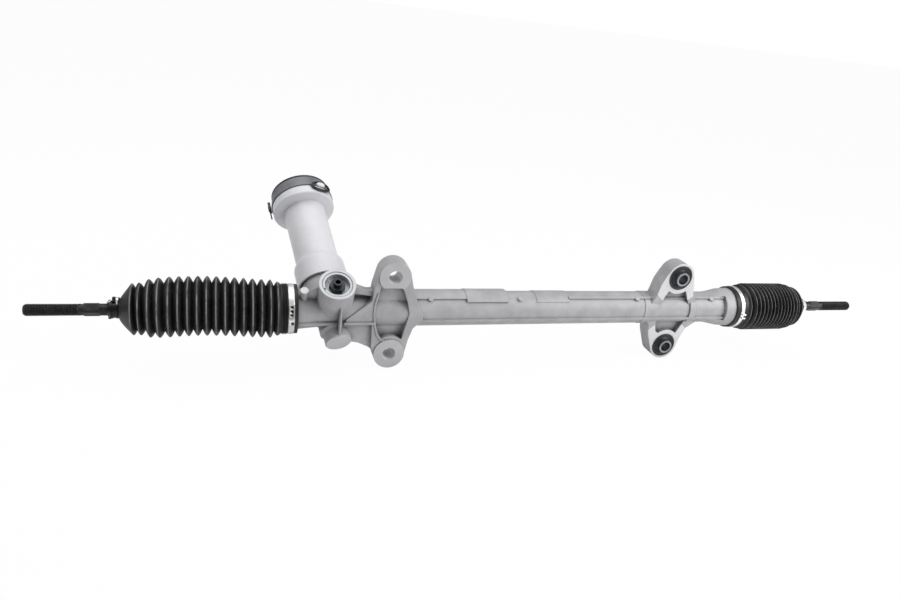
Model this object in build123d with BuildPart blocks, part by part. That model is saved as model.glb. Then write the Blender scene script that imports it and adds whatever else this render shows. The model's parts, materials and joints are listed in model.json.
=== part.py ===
"""Rack-and-pinion steering gear for a small car: die-cast housing, toothed rack, tie rods, boots and pinion.

X runs along the rack, +Y is away from the subframe that the ears bolt to, and the rack's axis is the X axis.
The origin lies midway between the four mounting holes. All sizes are in millimetres.
"""
import os
from math import acos, atan, cos, degrees, pi, radians, sin, tan

from build123d import *

os.makedirs("parts", exist_ok=True)

# Clearances
RUN = 0.05          # radial running clearance
SLIDE = 0.08        # radial clearance of the rack's bush and of the yoke

# Ends of the housing
HOUSING_LEFT = -343.0
HOUSING_RIGHT = 331.0

# Rack bar, in the position in which it is stored
BAR_R = 13.0
BALL_LEFT = HOUSING_LEFT - 122.3        # centres of the inner ball joints
BALL_RIGHT = HOUSING_RIGHT + 58.2
BALL_R = 10.5
SEAT_R = BALL_R + 1.2       # outside of the plastic ball seat
SOCKET_R = 16.5
SOCKET_BACK = 15.0          # from the ball's centre to the socket's shoulder on the bar
SOCKET_FRONT = 8.5
STOP_THICK = 4.0
STUD_R = 7.0
STUD_LENGTH = 18.0

# Tie rods
ROD_LENGTH = 159.0          # ball centre to tip
ROD_R = 7.0
NECK_R = 5.4
THREAD_LENGTH = 57.0
FLATS_END = ROD_LENGTH - THREAD_LENGTH - 5.0
FLATS_START = FLATS_END - 15.0
ACROSS_FLATS = 12.6

# Pinion: its axis leans from square to the rack, and is turned from +Z towards +Y
LEAN = radians(8.26)
TURN = radians(58.0)
CROSSING_X = -279.0
CENTRE_DISTANCE = 16.5
MODULE = 1.9
TEETH = 8
PRESSURE = radians(20.0)
SHIFT = 0.5
RACK_SLANT = radians(10.0)
BACKLASH = 0.08
PINION_TIP_R = 10.6
TOOTH_HALF_LENGTH = 15.0
SPACES_LEFT = 19
SPACES_RIGHT = 9

# Housing
TUBE_R = 22.7
BORE_R = 16.5
BUSH_R = 18.0
BUSH_LENGTH = 22.0
BUSH_FOOT = HOUSING_RIGHT - BUSH_LENGTH - 9.0
BOOT_SEAT_R = 28.3
COLLAR_LENGTH = 21.0
EAR_X = 207.5
EAR_Z = 53.2
EAR_R = 20.3
BOLT_R = 7.3
HOLE_MOUTH_R = 8.5
SEAT_Y = -26.0              # plane of the four seats on the subframe
LEFT_EAR_BACK = 0.0
RIGHT_EAR_FRONT = -19.3
RIGHT_EAR_BACK = 4.5
RIGHT_EAR_R = 21.3
EAR_RING_R = 24.4           # rings of metal round the holes, where the pockets stop
LEFT_POCKET_FLOOR = -15.0
RIGHT_POCKET_FLOOR = -12.0
RIB_R = TUBE_R + 2.3        # lengthwise ribs of the tube
BUSHING_R = 18.2
BUSHING_CORE_R = 9.8
TOWER_R = 22.5
TOWER_TOP = 53.1            # along the yoke's axis from the rack's axis
PINION_BOSS_END = -41.5     # along the pinion's axis from its middle
NECK_TOP = 60.0
NECK_OUT_R = 29.0

# Yoke and its plug
YOKE_R = 15.0
LINER = 1.0
YOKE_TOP = 31.8
PLUG_FOOT = 32.0
PLUG_R = 18.0
PLUG_FLOOR = TOWER_TOP - 8.1
ADJUSTER_R = 5.2
ADJUSTER_TOP = TOWER_TOP + 4.7
HEX_R = 10.0
HEX_HEIGHT = 7.0
SPRING_FOOT = 22.0
SPRING_TOP = 38.0
SPRING_R = 5.2
WIRE_R = 1.3

# Pinion bearings
BEARING_R = 21.0
BEARING_BORE = 10.0
BEARING_FOOT = 17.0
BEARING_HEIGHT = 12.0
BALLS = 9
BEARING_BALL_R = 3.1
BALL_PITCH_R = 15.5
NEEDLE_FOOT = -29.0
NEEDLE_CUP_R = 10.0
NEEDLE_CUP_HEIGHT = 12.0
JOURNAL_R = 6.0
NEEDLE_R = 1.25
NEEDLES = 14
NUT_R = 22.2
NUT_TOP = 41.0
SEAL_OUT_R = 16.0
SHAFT_R = 8.5
SPLINES = 18

# Pinion cover
COVER_WALL = 2.6
COLLAR_R = 33.5
COLLAR_FOOT = 47.5
COLLAR_HEIGHT = 26.8
COVER_TUBE_R = 28.4
CUP_R = 42.2
CUP_FLOOR = 175.0
CUP_DEPTH = 15.0
CUP_RIM = CUP_FLOOR + CUP_DEPTH
SEAL_LAP = 2.5              # how far the seal's skirt reaches down over the cup's rim
SEAL_FOOT = CUP_RIM - SEAL_LAP
SEAL_RING_R = CUP_R + 0.8

# Boots of one section at two lengths, the right one with a fold less
BOOT_WALL = 1.2
BOOT_COLLAR_R = 30.8
BOOT_END_LEFT = HOUSING_LEFT - 182.5
BOOT_END_RIGHT = HOUSING_RIGHT + 118.5
BOOT_NECK = 9.0
BOOT_NECK_R = 9.6
RIDGE_R = 35.5
VALLEY_R = 28.0
FULL_FOLDS = 12
LAST_FOLD_R = 30.5
# In shares of a boot's length: its first full crest, the pitch, how the pitch closes up, the last crest
FOLD_SHARES = {"left": (0.0626, 0.0579, 0.0, 0.923), "right": (0.0901, 0.0588, 0.0006, 0.8395)}
CLAMP_THICK = 1.0
CLAMP_WIDTH = 7.1
CLAMP_LEFT = HOUSING_LEFT + 7.3         # left edges of the two bands
CLAMP_RIGHT = HOUSING_RIGHT - 13.0

ALONG = Vector(1, 0, 0)
pinion_dir = Vector(-sin(LEAN), cos(LEAN) * sin(TURN), cos(LEAN) * cos(TURN))
yoke_dir = Vector(0, -cos(TURN), sin(TURN))
teeth_dir = Vector(sin(RACK_SLANT), cos(RACK_SLANT) * sin(TURN), cos(RACK_SLANT) * cos(TURN))
teeth_square = teeth_dir.cross(yoke_dir)
crossing = Vector(CROSSING_X, 0, 0)
pinion_mid = crossing - yoke_dir * CENTRE_DISTANCE
pinion_side = pinion_dir.cross(yoke_dir)
PINION_AXIS = Axis(pinion_mid, pinion_dir)
PINION_SECTION = Plane(origin=pinion_mid, x_dir=yoke_dir, z_dir=yoke_dir.cross(pinion_dir))
YOKE_AXIS = Axis(crossing, yoke_dir)
YOKE_SECTION = Plane(origin=crossing, x_dir=ALONG, z_dir=ALONG.cross(yoke_dir))


def export(part, name):
    """Write one node under its name."""
    part.label = name
    export_step(part, f"parts/{name}.step")


def across(x):
    """Plane square to the rack's axis at x, facing +X, with Y to the right."""
    return Plane(origin=(x, 0, 0), x_dir=(0, 1, 0), z_dir=(1, 0, 0))


def on_pinion(height):
    """Plane square to the pinion's axis at this height above its middle."""
    return Plane(origin=pinion_mid + pinion_dir * height, x_dir=yoke_dir, z_dir=pinion_dir)


def on_yoke(height):
    """Plane square to the yoke's axis at this height above the rack's axis."""
    return Plane(origin=crossing + yoke_dir * height, x_dir=ALONG, z_dir=yoke_dir)


def facing_bolts(x, y, z=0.0):
    """Upright plane with X to the right and Z up, facing the subframe."""
    return Plane(origin=(x, y, z), x_dir=(1, 0, 0), z_dir=(0, -1, 0))


def radially(x, angle, radius=0.0):
    """Plane facing out from the rack's axis at this angle above the -Y side."""
    out = Vector(0, -cos(radians(angle)), sin(radians(angle)))
    return Plane(origin=Vector(x, 0, 0) + out * radius, x_dir=ALONG, z_dir=out)


def turned(outline, plane=Plane.XZ, axis=Axis.X, mode=Mode.ADD):
    """Turn a closed outline about an axis that lies in its plane."""
    with BuildSketch(plane) as profile:
        with BuildLine():
            Polyline(*outline, close=True)
        make_face()
    revolve(profile.sketch, axis=axis, mode=mode)


def disc(plane, radius, length, hole=0.0, mode=Mode.ADD):
    """Round bar or ring standing on a plane."""
    with BuildSketch(plane) as profile:
        Circle(radius)
        if hole:
            Circle(hole, mode=Mode.SUBTRACT)
    extrude(profile.sketch, amount=length, mode=mode)


def plate(plane, outline, length, mode=Mode.ADD):
    """Straight-sided slab with this outline standing on a plane."""
    with BuildSketch(plane) as profile:
        with BuildLine():
            Polyline(*outline, close=True)
        make_face()
    extrude(profile.sketch, amount=length, mode=mode)


def rail(start, end, angle, outer, width):
    """Lengthwise rib on the tube at this angle above the -Y side."""
    with BuildSketch(across(start)) as profile:
        with Locations(Location((-cos(radians(angle)) * outer / 2, sin(radians(angle)) * outer / 2), -angle)):
            Rectangle(outer, width)
    extrude(profile.sketch, amount=end - start)


def strip(start, end, angle, half, outer):
    """Raised strip of the tube's wall, centred at this angle and this many degrees wide each way."""
    edges = [radians(angle + step * half) for step in (-1, 0, 1)]
    reach = outer / cos(radians(half)) + 1
    with BuildSketch(across(start)) as profile:
        Circle(outer)
        with BuildLine():
            Polyline((0, 0), *[(-cos(a) * reach, sin(a) * reach) for a in edges], close=True)
        make_face(mode=Mode.INTERSECT)
    extrude(profile.sketch, amount=end - start)


def ear_pair(x, back, web_front, boss_front, outline, boss_r):
    """Two round bosses above and below the tube, joined by a web."""
    plate(facing_bolts(x, back), outline, back - web_front)
    for height in (EAR_Z, -EAR_Z):
        disc(facing_bolts(x, back, height), boss_r, back - boss_front)


def pocket(x, floor, outline, ringed):
    """Hollow in the front of an ear pair, kept off the rings round the holes at these heights."""
    with BuildSketch(facing_bolts(x, floor)) as profile:
        with BuildLine():
            Polyline(*outline, close=True)
        make_face()
        with Locations(*[(0, height) for height in ringed]):
            Circle(EAR_RING_R, mode=Mode.SUBTRACT)
    extrude(profile.sketch, amount=30, mode=Mode.SUBTRACT)


def lip(x, foot, front, outline, width):
    """Raised lip round the left side of a pocket."""
    with BuildSketch(facing_bolts(x, foot)) as profile:
        with BuildLine():
            Polyline(*outline, close=True)
        make_face()
        offset(amount=width)
        with BuildLine():
            Polyline(*outline, close=True)
        make_face(mode=Mode.SUBTRACT)
        with Locations((-EAR_R, -2)):
            Rectangle(EAR_R + 4, 66, mode=Mode.INTERSECT)
    extrude(profile.sketch, amount=foot - front)


# Ears, one pair at each end, with a pocket between them that leaves the tube's front bare
left_outline = [(-20, 57), (-24.5, 38), (-27, 20), (-45, 6), (-58, -5), (-58, -12), (-25, -12)]
left_outline += [(-24, -43), (-19.5, -58), (19.5, -58), (24, -34), (29, -18), (41, -6), (41, 2)]
left_outline += [(34, 12), (29, 26), (24, 41), (20, 57)]
left_pocket = [(-17, 38.5), (10, 38.5), (13, 35), (19.5, 17), (22.5, 3), (20.3, -8.5), (15.3, -33), (-11, -33)]
left_pocket += [(-16, -26.5), (-20.3, -12), (-22.2, 4.5), (-21.8, 15.6)]
right_outline = [(-21, 60), (-28, 45), (-32, 25), (-38, 13), (-46, 3), (-46, -6), (-34, -19)]
right_outline += [(-30, -36), (-21, -58), (21, -58), (24, -42), (30, -26), (44, -16), (60, -10), (60, 2)]
right_outline += [(38, 13), (28, 28), (22, 56)]
right_pocket = [(-13.5, 34), (14, 34), (20, 21), (27, 8), (27, -8), (24.8, -13), (16.5, -31), (15, -34), (-14, -34)]
right_pocket += [(-19.5, -30), (-22.2, -20), (-23.6, 4), (-19, 22)]

with BuildPart() as left_ears:
    ear_pair(-EAR_X, LEFT_EAR_BACK, SEAT_Y + 1.5, SEAT_Y, left_outline, EAR_R)
    pocket(-EAR_X, LEFT_POCKET_FLOOR, left_pocket, (-EAR_Z,))
    lip(-EAR_X, SEAT_Y + 3, SEAT_Y + 0.3, left_pocket, 2.2)
with BuildPart() as right_ears:
    ear_pair(EAR_X, RIGHT_EAR_BACK, RIGHT_EAR_FRONT, RIGHT_EAR_FRONT, right_outline, RIGHT_EAR_R)
    pocket(EAR_X, RIGHT_POCKET_FLOOR, right_pocket, (EAR_Z, -EAR_Z))
    disc(across(EAR_X + 27), TUBE_R + 2.2, 9)
    disc(across(EAR_X - 47), TUBE_R + 0.8, 22)

# Webs between the tower, the pinion barrel and the left ears, a gusset under the tower and a vent stub
upper_web = [(-262, 30), (-262, 42), (-254, 37), (-241, 32), (-228, 32.5), (-228, 24)]
lower_web = [(-283, -10), (-283, -26), (-266, -38), (-256, -37.5), (-248, -39), (-236, -44.5), (-226, -51)]
lower_web += [(-226, -10)]
gusset = [(-15, 14), (-37.5, 19), (-40, -4), (-38, -12), (-32, -23), (-15, -23)]
stub_web = [(-40, 14), (-40, 38), (-34, 39.5), (-20, 49), (-20, 14)]

with BuildPart() as webs:
    plate(facing_bolts(0, -6), upper_web, 13)
    plate(facing_bolts(0, -2), lower_web, 18)
    plate(across(CROSSING_X + 4), gusset, 2)
    disc(Plane(origin=crossing + yoke_dir * 14 - ALONG * 38.3, z_dir=yoke_dir), 5.0, 25.9)
    plate(YOKE_SECTION.offset(-0.9), stub_web, 1.8)

with BuildPart() as rack_housing:
    left_seat = HOUSING_LEFT + COLLAR_LENGTH - 2
    right_seat = HOUSING_RIGHT - COLLAR_LENGTH + 2
    body = [(HOUSING_LEFT, 0), (HOUSING_LEFT, 26.5), (HOUSING_LEFT + 2, BOOT_SEAT_R), (left_seat, BOOT_SEAT_R)]
    bare_from, flare_from, flare_to = right_seat - 50, right_seat - 40, right_seat - 16
    body += [(left_seat, 25.5), (left_seat + 24, TUBE_R + 0.6), (flare_from, TUBE_R), (flare_to, 27.5)]
    body += [(right_seat, 28.6)]
    body += [(right_seat, BOOT_SEAT_R), (HOUSING_RIGHT - 2, BOOT_SEAT_R), (HOUSING_RIGHT, 26.5), (HOUSING_RIGHT, 0)]
    turned(body)
    # the tube stays bare between its two ribs up to the right-hand collar
    with BuildSketch(across(bare_from)):
        Circle(40)
        Circle(TUBE_R, mode=Mode.SUBTRACT)
        with BuildLine():
            Polyline((0, 0), (-60, -28), (-60, 96), close=True)
        make_face(mode=Mode.INTERSECT)
    extrude(amount=flare_to - bare_from, mode=Mode.SUBTRACT)
    # ribs, raised strips and ejector bumps
    rail(left_seat, -EAR_X - 20, -26, RIB_R + 1.2, 5.0)
    rail(-EAR_X + 20, flare_to, -20, RIB_R, 4.6)
    rail(41, flare_to, 57, RIB_R, 3.6)
    strip(-181, -49, 92, 40, TUBE_R + 2.5)
    strip(-107, -49, 90, 49, TUBE_R + 3.1)
    strip(-7, 42, 90, 49, TUBE_R + 0.9)
    for x in (-156, -31, 148, 272):
        disc(radially(x, 52), 3.5, RIB_R + 0.6)
    add(left_ears.part)
    add(right_ears.part)
    add(webs.part)
    # the lower rib runs on over the web of the left ears
    plate(facing_bolts(0, SEAT_Y + 6), [(-268, -11.5), (-230, -11.5), (-230, -8), (-268, -8)], 6)
    disc(on_yoke(0), TOWER_R, TOWER_TOP)
    barrel = [(0, PINION_BOSS_END), (15.8, PINION_BOSS_END), (16.8, PINION_BOSS_END + 1), (16.8, -28)]
    barrel += [(20, -25), (20, -12), (25, 2), (NECK_OUT_R, 10), (NECK_OUT_R, NECK_TOP), (0, NECK_TOP)]
    turned(barrel, PINION_SECTION, PINION_AXIS)
    # rack bore and bush seat
    disc(across(HOUSING_LEFT), BORE_R, HOUSING_RIGHT - HOUSING_LEFT, mode=Mode.SUBTRACT)
    disc(across(BUSH_FOOT), BUSH_R, HOUSING_RIGHT - BUSH_FOOT, mode=Mode.SUBTRACT)
    # yoke bore, plug thread and the groove round the plug
    disc(on_yoke(0), YOKE_R, TOWER_TOP, mode=Mode.SUBTRACT)
    disc(on_yoke(PLUG_FOOT), PLUG_R, TOWER_TOP, mode=Mode.SUBTRACT)
    disc(on_yoke(TOWER_TOP - 1.5), PLUG_R + 0.7, 3, mode=Mode.SUBTRACT)
    # pinion cavity and bearing seats
    disc(on_pinion(PINION_BOSS_END + 8), JOURNAL_R + 1, 20, mode=Mode.SUBTRACT)
    disc(on_pinion(NEEDLE_FOOT), NEEDLE_CUP_R, 20, mode=Mode.SUBTRACT)
    disc(on_pinion(-TOOTH_HALF_LENGTH - 1), PINION_TIP_R + 0.8, 40, mode=Mode.SUBTRACT)
    disc(on_pinion(BEARING_FOOT), BEARING_R, 30, mode=Mode.SUBTRACT)
    disc(on_pinion(BEARING_FOOT + BEARING_HEIGHT), NUT_R, 40, mode=Mode.SUBTRACT)
    # bolt holes on the left narrow from a cast mouth, and the right-hand ears are bored for bushings
    for height in (EAR_Z, -EAR_Z):
        disc(facing_bolts(-EAR_X, LEFT_EAR_BACK, height), BOLT_R, 40, mode=Mode.SUBTRACT)
        mouth = [(0, SEAT_Y), (HOLE_MOUTH_R, SEAT_Y), (BOLT_R, SEAT_Y + 8), (0, SEAT_Y + 8)]
        turned(mouth, Plane(origin=(-EAR_X, 0, height), x_dir=(1, 0, 0), z_dir=(0, 0, 1)),
               Axis((-EAR_X, 0, height), (0, 1, 0)), Mode.SUBTRACT)
        disc(facing_bolts(EAR_X, RIGHT_EAR_BACK, height), BUSHING_R, 40, mode=Mode.SUBTRACT)

export(rack_housing.part, "rack_housing")

# Rubber bushings in the right-hand ears
for place, height in (("upper", EAR_Z), ("lower", -EAR_Z)):
    with BuildPart() as shell:
        disc(facing_bolts(EAR_X, RIGHT_EAR_BACK, height), BUSHING_R, RIGHT_EAR_BACK - RIGHT_EAR_FRONT, BUSHING_R - 1.2)
    export(shell.part, f"bushing_shell_{place}")
    with BuildPart() as rubber:
        disc(facing_bolts(EAR_X, RIGHT_EAR_BACK - 1, height), BUSHING_R - 1.2,
             RIGHT_EAR_BACK - RIGHT_EAR_FRONT - 1, BUSHING_CORE_R)
    export(rubber.part, f"bushing_rubber_{place}")
    with BuildPart() as core:
        disc(facing_bolts(EAR_X, RIGHT_EAR_BACK + 3.5, height), BUSHING_CORE_R, RIGHT_EAR_BACK + 3.5 - SEAT_Y, BOLT_R)
    export(core.part, f"bushing_core_{place}")

# Toothed rack bar
bar_left = BALL_LEFT + SOCKET_BACK
bar_right = BALL_RIGHT - SOCKET_BACK
pitch = pi * MODULE
line_height = CENTRE_DISTANCE - TEETH * MODULE / 2 / cos(LEAN + RACK_SLANT) - SHIFT * MODULE
tip_height = line_height + MODULE
half_space = pitch / 4 + BACKLASH / 2


def space_width(depth):
    """Half the width of a tooth space at this height above the rack's reference line."""
    return half_space + depth * tan(PRESSURE)


with BuildPart() as rack_bar:
    disc(across(bar_left), BAR_R, bar_right - bar_left)
    for x, way in ((bar_left, 1), (bar_right, -1)):
        disc(across(x), STUD_R, way * (STUD_LENGTH + 1), mode=Mode.SUBTRACT)
    toothed_left = CROSSING_X - (SPACES_LEFT + 0.6) * pitch / cos(RACK_SLANT)
    toothed_right = CROSSING_X + (SPACES_RIGHT + 0.6) * pitch / cos(RACK_SLANT)
    flat = Plane(origin=(toothed_left, 0, 0), x_dir=yoke_dir * -1, z_dir=ALONG)
    plate(flat, [(tip_height, -20), (30, -20), (30, 20), (tip_height, 20)], toothed_right - toothed_left,
          mode=Mode.SUBTRACT)
    reference = crossing - yoke_dir * line_height
    with BuildSketch(Plane(origin=reference - teeth_dir * 40, x_dir=teeth_square, z_dir=teeth_dir)):
        root, mouth = -1.25 * MODULE, MODULE + 1
        for number in range(-SPACES_LEFT, SPACES_RIGHT + 1):
            with BuildLine():
                corners = [(-space_width(root), root), (space_width(root), root)]
                corners += [(space_width(mouth), mouth), (-space_width(mouth), mouth)]
                Polyline(*[(number * pitch + x, y) for x, y in corners], close=True)
            make_face()
    extrude(amount=80, mode=Mode.SUBTRACT)
export(rack_bar.part, "rack_bar")

with BuildPart() as rack_bush:
    disc(across(BUSH_FOOT), BUSH_R, BUSH_LENGTH, BAR_R + SLIDE)
export(rack_bush.part, "rack_bush")

with BuildPart() as bush_ring:
    disc(across(BUSH_FOOT + BUSH_LENGTH), BUSH_R, 2.5, BAR_R + 1.5)
export(bush_ring.part, "bush_ring")

# Yoke with its liner, seal ring, spring and plug
with BuildPart() as yoke:
    profile = [(0, 5), (YOKE_R - SLIDE, 5), (YOKE_R - SLIDE, 25), (YOKE_R - 1.7, 25), (YOKE_R - 1.7, 27.2)]
    profile += [(YOKE_R - SLIDE, 27.2), (YOKE_R - SLIDE, YOKE_TOP), (7, YOKE_TOP), (7, SPRING_FOOT), (0, SPRING_FOOT)]
    turned(profile, YOKE_SECTION, YOKE_AXIS)
    disc(across(CROSSING_X - 20), BAR_R + LINER, 40, mode=Mode.SUBTRACT)
export(yoke.part, "yoke")

with BuildPart() as yoke_liner:
    disc(on_yoke(5), YOKE_R - SLIDE - 0.3, 20)
    disc(across(CROSSING_X - 20), BAR_R + LINER, 40, mode=Mode.INTERSECT)
    disc(across(CROSSING_X - 20), BAR_R + RUN, 40, mode=Mode.SUBTRACT)
export(yoke_liner.part, "yoke_liner")

with BuildPart() as yoke_oring:
    with BuildSketch(YOKE_SECTION):
        with Locations((YOKE_R - 0.85, 26.1)):
            Circle(0.85)
    revolve(axis=YOKE_AXIS)
export(yoke_oring.part, "yoke_oring")

with BuildPart() as yoke_spring:
    with BuildLine():
        coil = Helix(pitch=(SPRING_TOP - SPRING_FOOT - 2 * WIRE_R) / 4, height=SPRING_TOP - SPRING_FOOT - 2 * WIRE_R,
                     radius=SPRING_R, center=crossing + yoke_dir * (SPRING_FOOT + WIRE_R), direction=yoke_dir)
    with BuildSketch(Plane(origin=coil @ 0, z_dir=coil % 0)):
        RegularPolygon(WIRE_R, 6)
    sweep(is_frenet=True)
export(yoke_spring.part, "yoke_spring")

with BuildPart() as yoke_plug:
    cap = [(0, SPRING_TOP), (7, SPRING_TOP), (7, PLUG_FOOT), (PLUG_R, PLUG_FOOT), (PLUG_R, TOWER_TOP - 0.6)]
    cap += [(15.2, TOWER_TOP - 0.6), (15.2, PLUG_FLOOR), (ADJUSTER_R, PLUG_FLOOR)]
    cap += [(ADJUSTER_R, PLUG_FLOOR - 4), (0, PLUG_FLOOR - 4)]
    turned(cap, YOKE_SECTION, YOKE_AXIS)
export(yoke_plug.part, "yoke_plug")

# Adjusting screw in the plug, with its lock nut
with BuildPart() as yoke_adjuster:
    disc(on_yoke(PLUG_FLOOR - 4), ADJUSTER_R, ADJUSTER_TOP - PLUG_FLOOR + 4)
    with BuildSketch(on_yoke(PLUG_FLOOR)):
        RegularPolygon(HEX_R, 6)
    extrude(amount=HEX_HEIGHT)
    disc(on_yoke(ADJUSTER_TOP - 10), ADJUSTER_R - 2, 11, mode=Mode.SUBTRACT)
export(yoke_adjuster.part, "yoke_adjuster")

# Pinion shaft: helical involute teeth that run in the slanted spaces of the rack
helix = LEAN + RACK_SLANT
pitch_r = TEETH * MODULE / 2 / cos(helix)
pressure_t = atan(tan(PRESSURE) / cos(helix))
base_r = pitch_r * cos(pressure_t)
root_r = pitch_r - MODULE * (1.25 - SHIFT)
half_tooth = (pi / 2 + 2 * SHIFT * tan(PRESSURE)) / TEETH
twist = tan(helix) / pitch_r


def flank_angle(radius):
    """Half the angle that a tooth fills at this radius."""
    slope = acos(min(1.0, base_r / radius))
    return half_tooth + tan(pressure_t) - pressure_t - tan(slope) + slope


def polar(radius, angle):
    """Point at this radius and angle from the sketch's x axis."""
    return (radius * cos(angle), radius * sin(angle))


with BuildSketch(on_pinion(-TOOTH_HALF_LENGTH)) as tooth_section:
    Circle(root_r)
    for number in range(TEETH):
        middle = number * 2 * pi / TEETH - twist * TOOTH_HALF_LENGTH
        radii = [base_r + step * (PINION_TIP_R - base_r) / 4 for step in range(5)]
        rising = [polar(r, middle - flank_angle(r)) for r in radii]
        falling = [polar(r, middle + flank_angle(r)) for r in reversed(radii)]
        foot = polar(root_r - 0.5, middle - flank_angle(base_r))
        heel = polar(root_r - 0.5, middle + flank_angle(base_r))
        with BuildLine():
            Line(foot, rising[0])
            Spline(*rising)
            Line(rising[-1], falling[0])
            Spline(*falling)
            Line(falling[-1], heel)
            Line(heel, foot)
        make_face()

with BuildPart() as pinion_shaft:
    add(Solid.extrude_linear_with_rotation(
        tooth_section.sketch.faces()[0], pinion_mid - pinion_dir * TOOTH_HALF_LENGTH,
        pinion_dir * (2 * TOOTH_HALF_LENGTH), degrees(twist * 2 * TOOTH_HALF_LENGTH)))
    lower = [(0, -31), (5, -31), (JOURNAL_R, -30), (JOURNAL_R, -TOOTH_HALF_LENGTH), (0, -TOOTH_HALF_LENGTH)]
    turned(lower, PINION_SECTION, PINION_AXIS)
    upper = [(0, TOOTH_HALF_LENGTH), (11.2, TOOTH_HALF_LENGTH), (11.2, BEARING_FOOT), (BEARING_BORE, BEARING_FOOT)]
    upper += [(BEARING_BORE, 30), (SHAFT_R, 30), (SHAFT_R, 46), (7, 48), (7, 88), (0, 88)]
    turned(upper, PINION_SECTION, PINION_AXIS)
    with BuildSketch(on_pinion(62)):
        with PolarLocations(7.5, SPLINES):
            Rectangle(1.7, 1.5)
    extrude(amount=25)
export(pinion_shaft.part, "pinion_shaft")

# Bearings, retaining nut and oil seal of the pinion
bearing_mid = BEARING_FOOT + BEARING_HEIGHT / 2


def race(inner, outer):
    """Bearing ring with a ball groove."""
    with BuildSketch(PINION_SECTION) as profile:
        with Locations(((inner + outer) / 2, bearing_mid)):
            Rectangle(outer - inner, BEARING_HEIGHT)
        with Locations((BALL_PITCH_R, bearing_mid)):
            Circle(BEARING_BALL_R + 0.03, mode=Mode.SUBTRACT)
    revolve(profile.sketch, axis=PINION_AXIS)


with BuildPart() as bearing_outer:
    race(17.4, BEARING_R)
export(bearing_outer.part, "bearing_outer")

with BuildPart() as bearing_inner:
    race(BEARING_BORE, 13.6)
export(bearing_inner.part, "bearing_inner")

with BuildPart() as bearing_balls:
    with Locations(on_pinion(bearing_mid)):
        with PolarLocations(BALL_PITCH_R, BALLS):
            Sphere(BEARING_BALL_R)
export(bearing_balls.part, "bearing_balls")

with BuildPart() as needle_cup:
    ring = [(NEEDLE_CUP_R, NEEDLE_FOOT), (NEEDLE_CUP_R, NEEDLE_FOOT + NEEDLE_CUP_HEIGHT)]
    ring += [(8.54, NEEDLE_FOOT + NEEDLE_CUP_HEIGHT), (8.54, NEEDLE_FOOT)]
    turned(ring, PINION_SECTION, PINION_AXIS)
export(needle_cup.part, "needle_cup")

with BuildPart() as needles:
    with BuildSketch(on_pinion(NEEDLE_FOOT + 1.5)):
        with PolarLocations(JOURNAL_R + NEEDLE_R + 0.02, NEEDLES):
            Circle(NEEDLE_R)
    extrude(amount=NEEDLE_CUP_HEIGHT - 3)
export(needles.part, "needles")

with BuildPart() as pinion_nut:
    nut_foot = BEARING_FOOT + BEARING_HEIGHT
    section = [(17.2, nut_foot), (NUT_R, nut_foot), (NUT_R, NUT_TOP), (SEAL_OUT_R, NUT_TOP)]
    section += [(SEAL_OUT_R, nut_foot + 4), (12, nut_foot + 4), (12, nut_foot + 1), (17.2, nut_foot + 1)]
    turned(section, PINION_SECTION, PINION_AXIS)
    with BuildSketch(on_pinion(NUT_TOP - 3)):
        with PolarLocations(19.5, 6):
            Rectangle(3, 4)
    extrude(amount=4, mode=Mode.SUBTRACT)
export(pinion_nut.part, "pinion_nut")

with BuildPart() as pinion_seal:
    lip_foot = nut_foot + 4
    lip = [(SEAL_OUT_R, lip_foot), (SEAL_OUT_R, NUT_TOP), (13.5, NUT_TOP), (13.5, lip_foot + 2), (11, lip_foot + 2)]
    lip += [(SHAFT_R + 0.8, NUT_TOP), (SHAFT_R + RUN, NUT_TOP - 1), (10, lip_foot)]
    turned(lip, PINION_SECTION, PINION_AXIS)
export(pinion_seal.part, "pinion_seal")

# Plastic cover over the pinion: collar on the housing's neck, tube and cup
cup_hole = CUP_R - COVER_WALL
tube_hole = COVER_TUBE_R - COVER_WALL
collar_hole = COLLAR_R - COVER_WALL
with BuildPart() as pinion_cover:
    shoulder = COLLAR_FOOT + COLLAR_HEIGHT
    wall = [(collar_hole, COLLAR_FOOT), (COLLAR_R, COLLAR_FOOT), (COLLAR_R, shoulder)]
    wall += [(COLLAR_R - 1, shoulder + 4), (COVER_TUBE_R + 0.8, shoulder + 9), (COVER_TUBE_R, shoulder + 13)]
    wall += [(COVER_TUBE_R, CUP_FLOOR - 2), (CUP_R - 1, CUP_FLOOR), (CUP_R, CUP_FLOOR + 1), (CUP_R, CUP_RIM)]
    wall += [(cup_hole, CUP_RIM), (cup_hole, CUP_FLOOR + COVER_WALL), (tube_hole, CUP_FLOOR)]
    wall += [(tube_hole, shoulder + 10), (collar_hole, shoulder - 1), (collar_hole, NECK_TOP + COVER_WALL)]
    wall += [(NECK_OUT_R - 3, NECK_TOP + COVER_WALL), (NECK_OUT_R - 3, NECK_TOP), (collar_hole, NECK_TOP)]
    turned(wall, PINION_SECTION, PINION_AXIS)
export(pinion_cover.part, "pinion_cover")


def on_wall(inner, outer, foot, top, start, arc):
    """Piece of a ring round the cover's axis, this many degrees long."""
    out = yoke_dir * cos(radians(start)) + pinion_side * sin(radians(start))
    with BuildSketch(Plane(origin=pinion_mid, x_dir=out, z_dir=out.cross(pinion_dir))) as profile:
        with BuildLine():
            Polyline((inner, foot), (outer, foot), (outer, top), (inner, top), close=True)
        make_face()
    revolve(profile.sketch, axis=PINION_AXIS, revolution_arc=arc)


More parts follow.
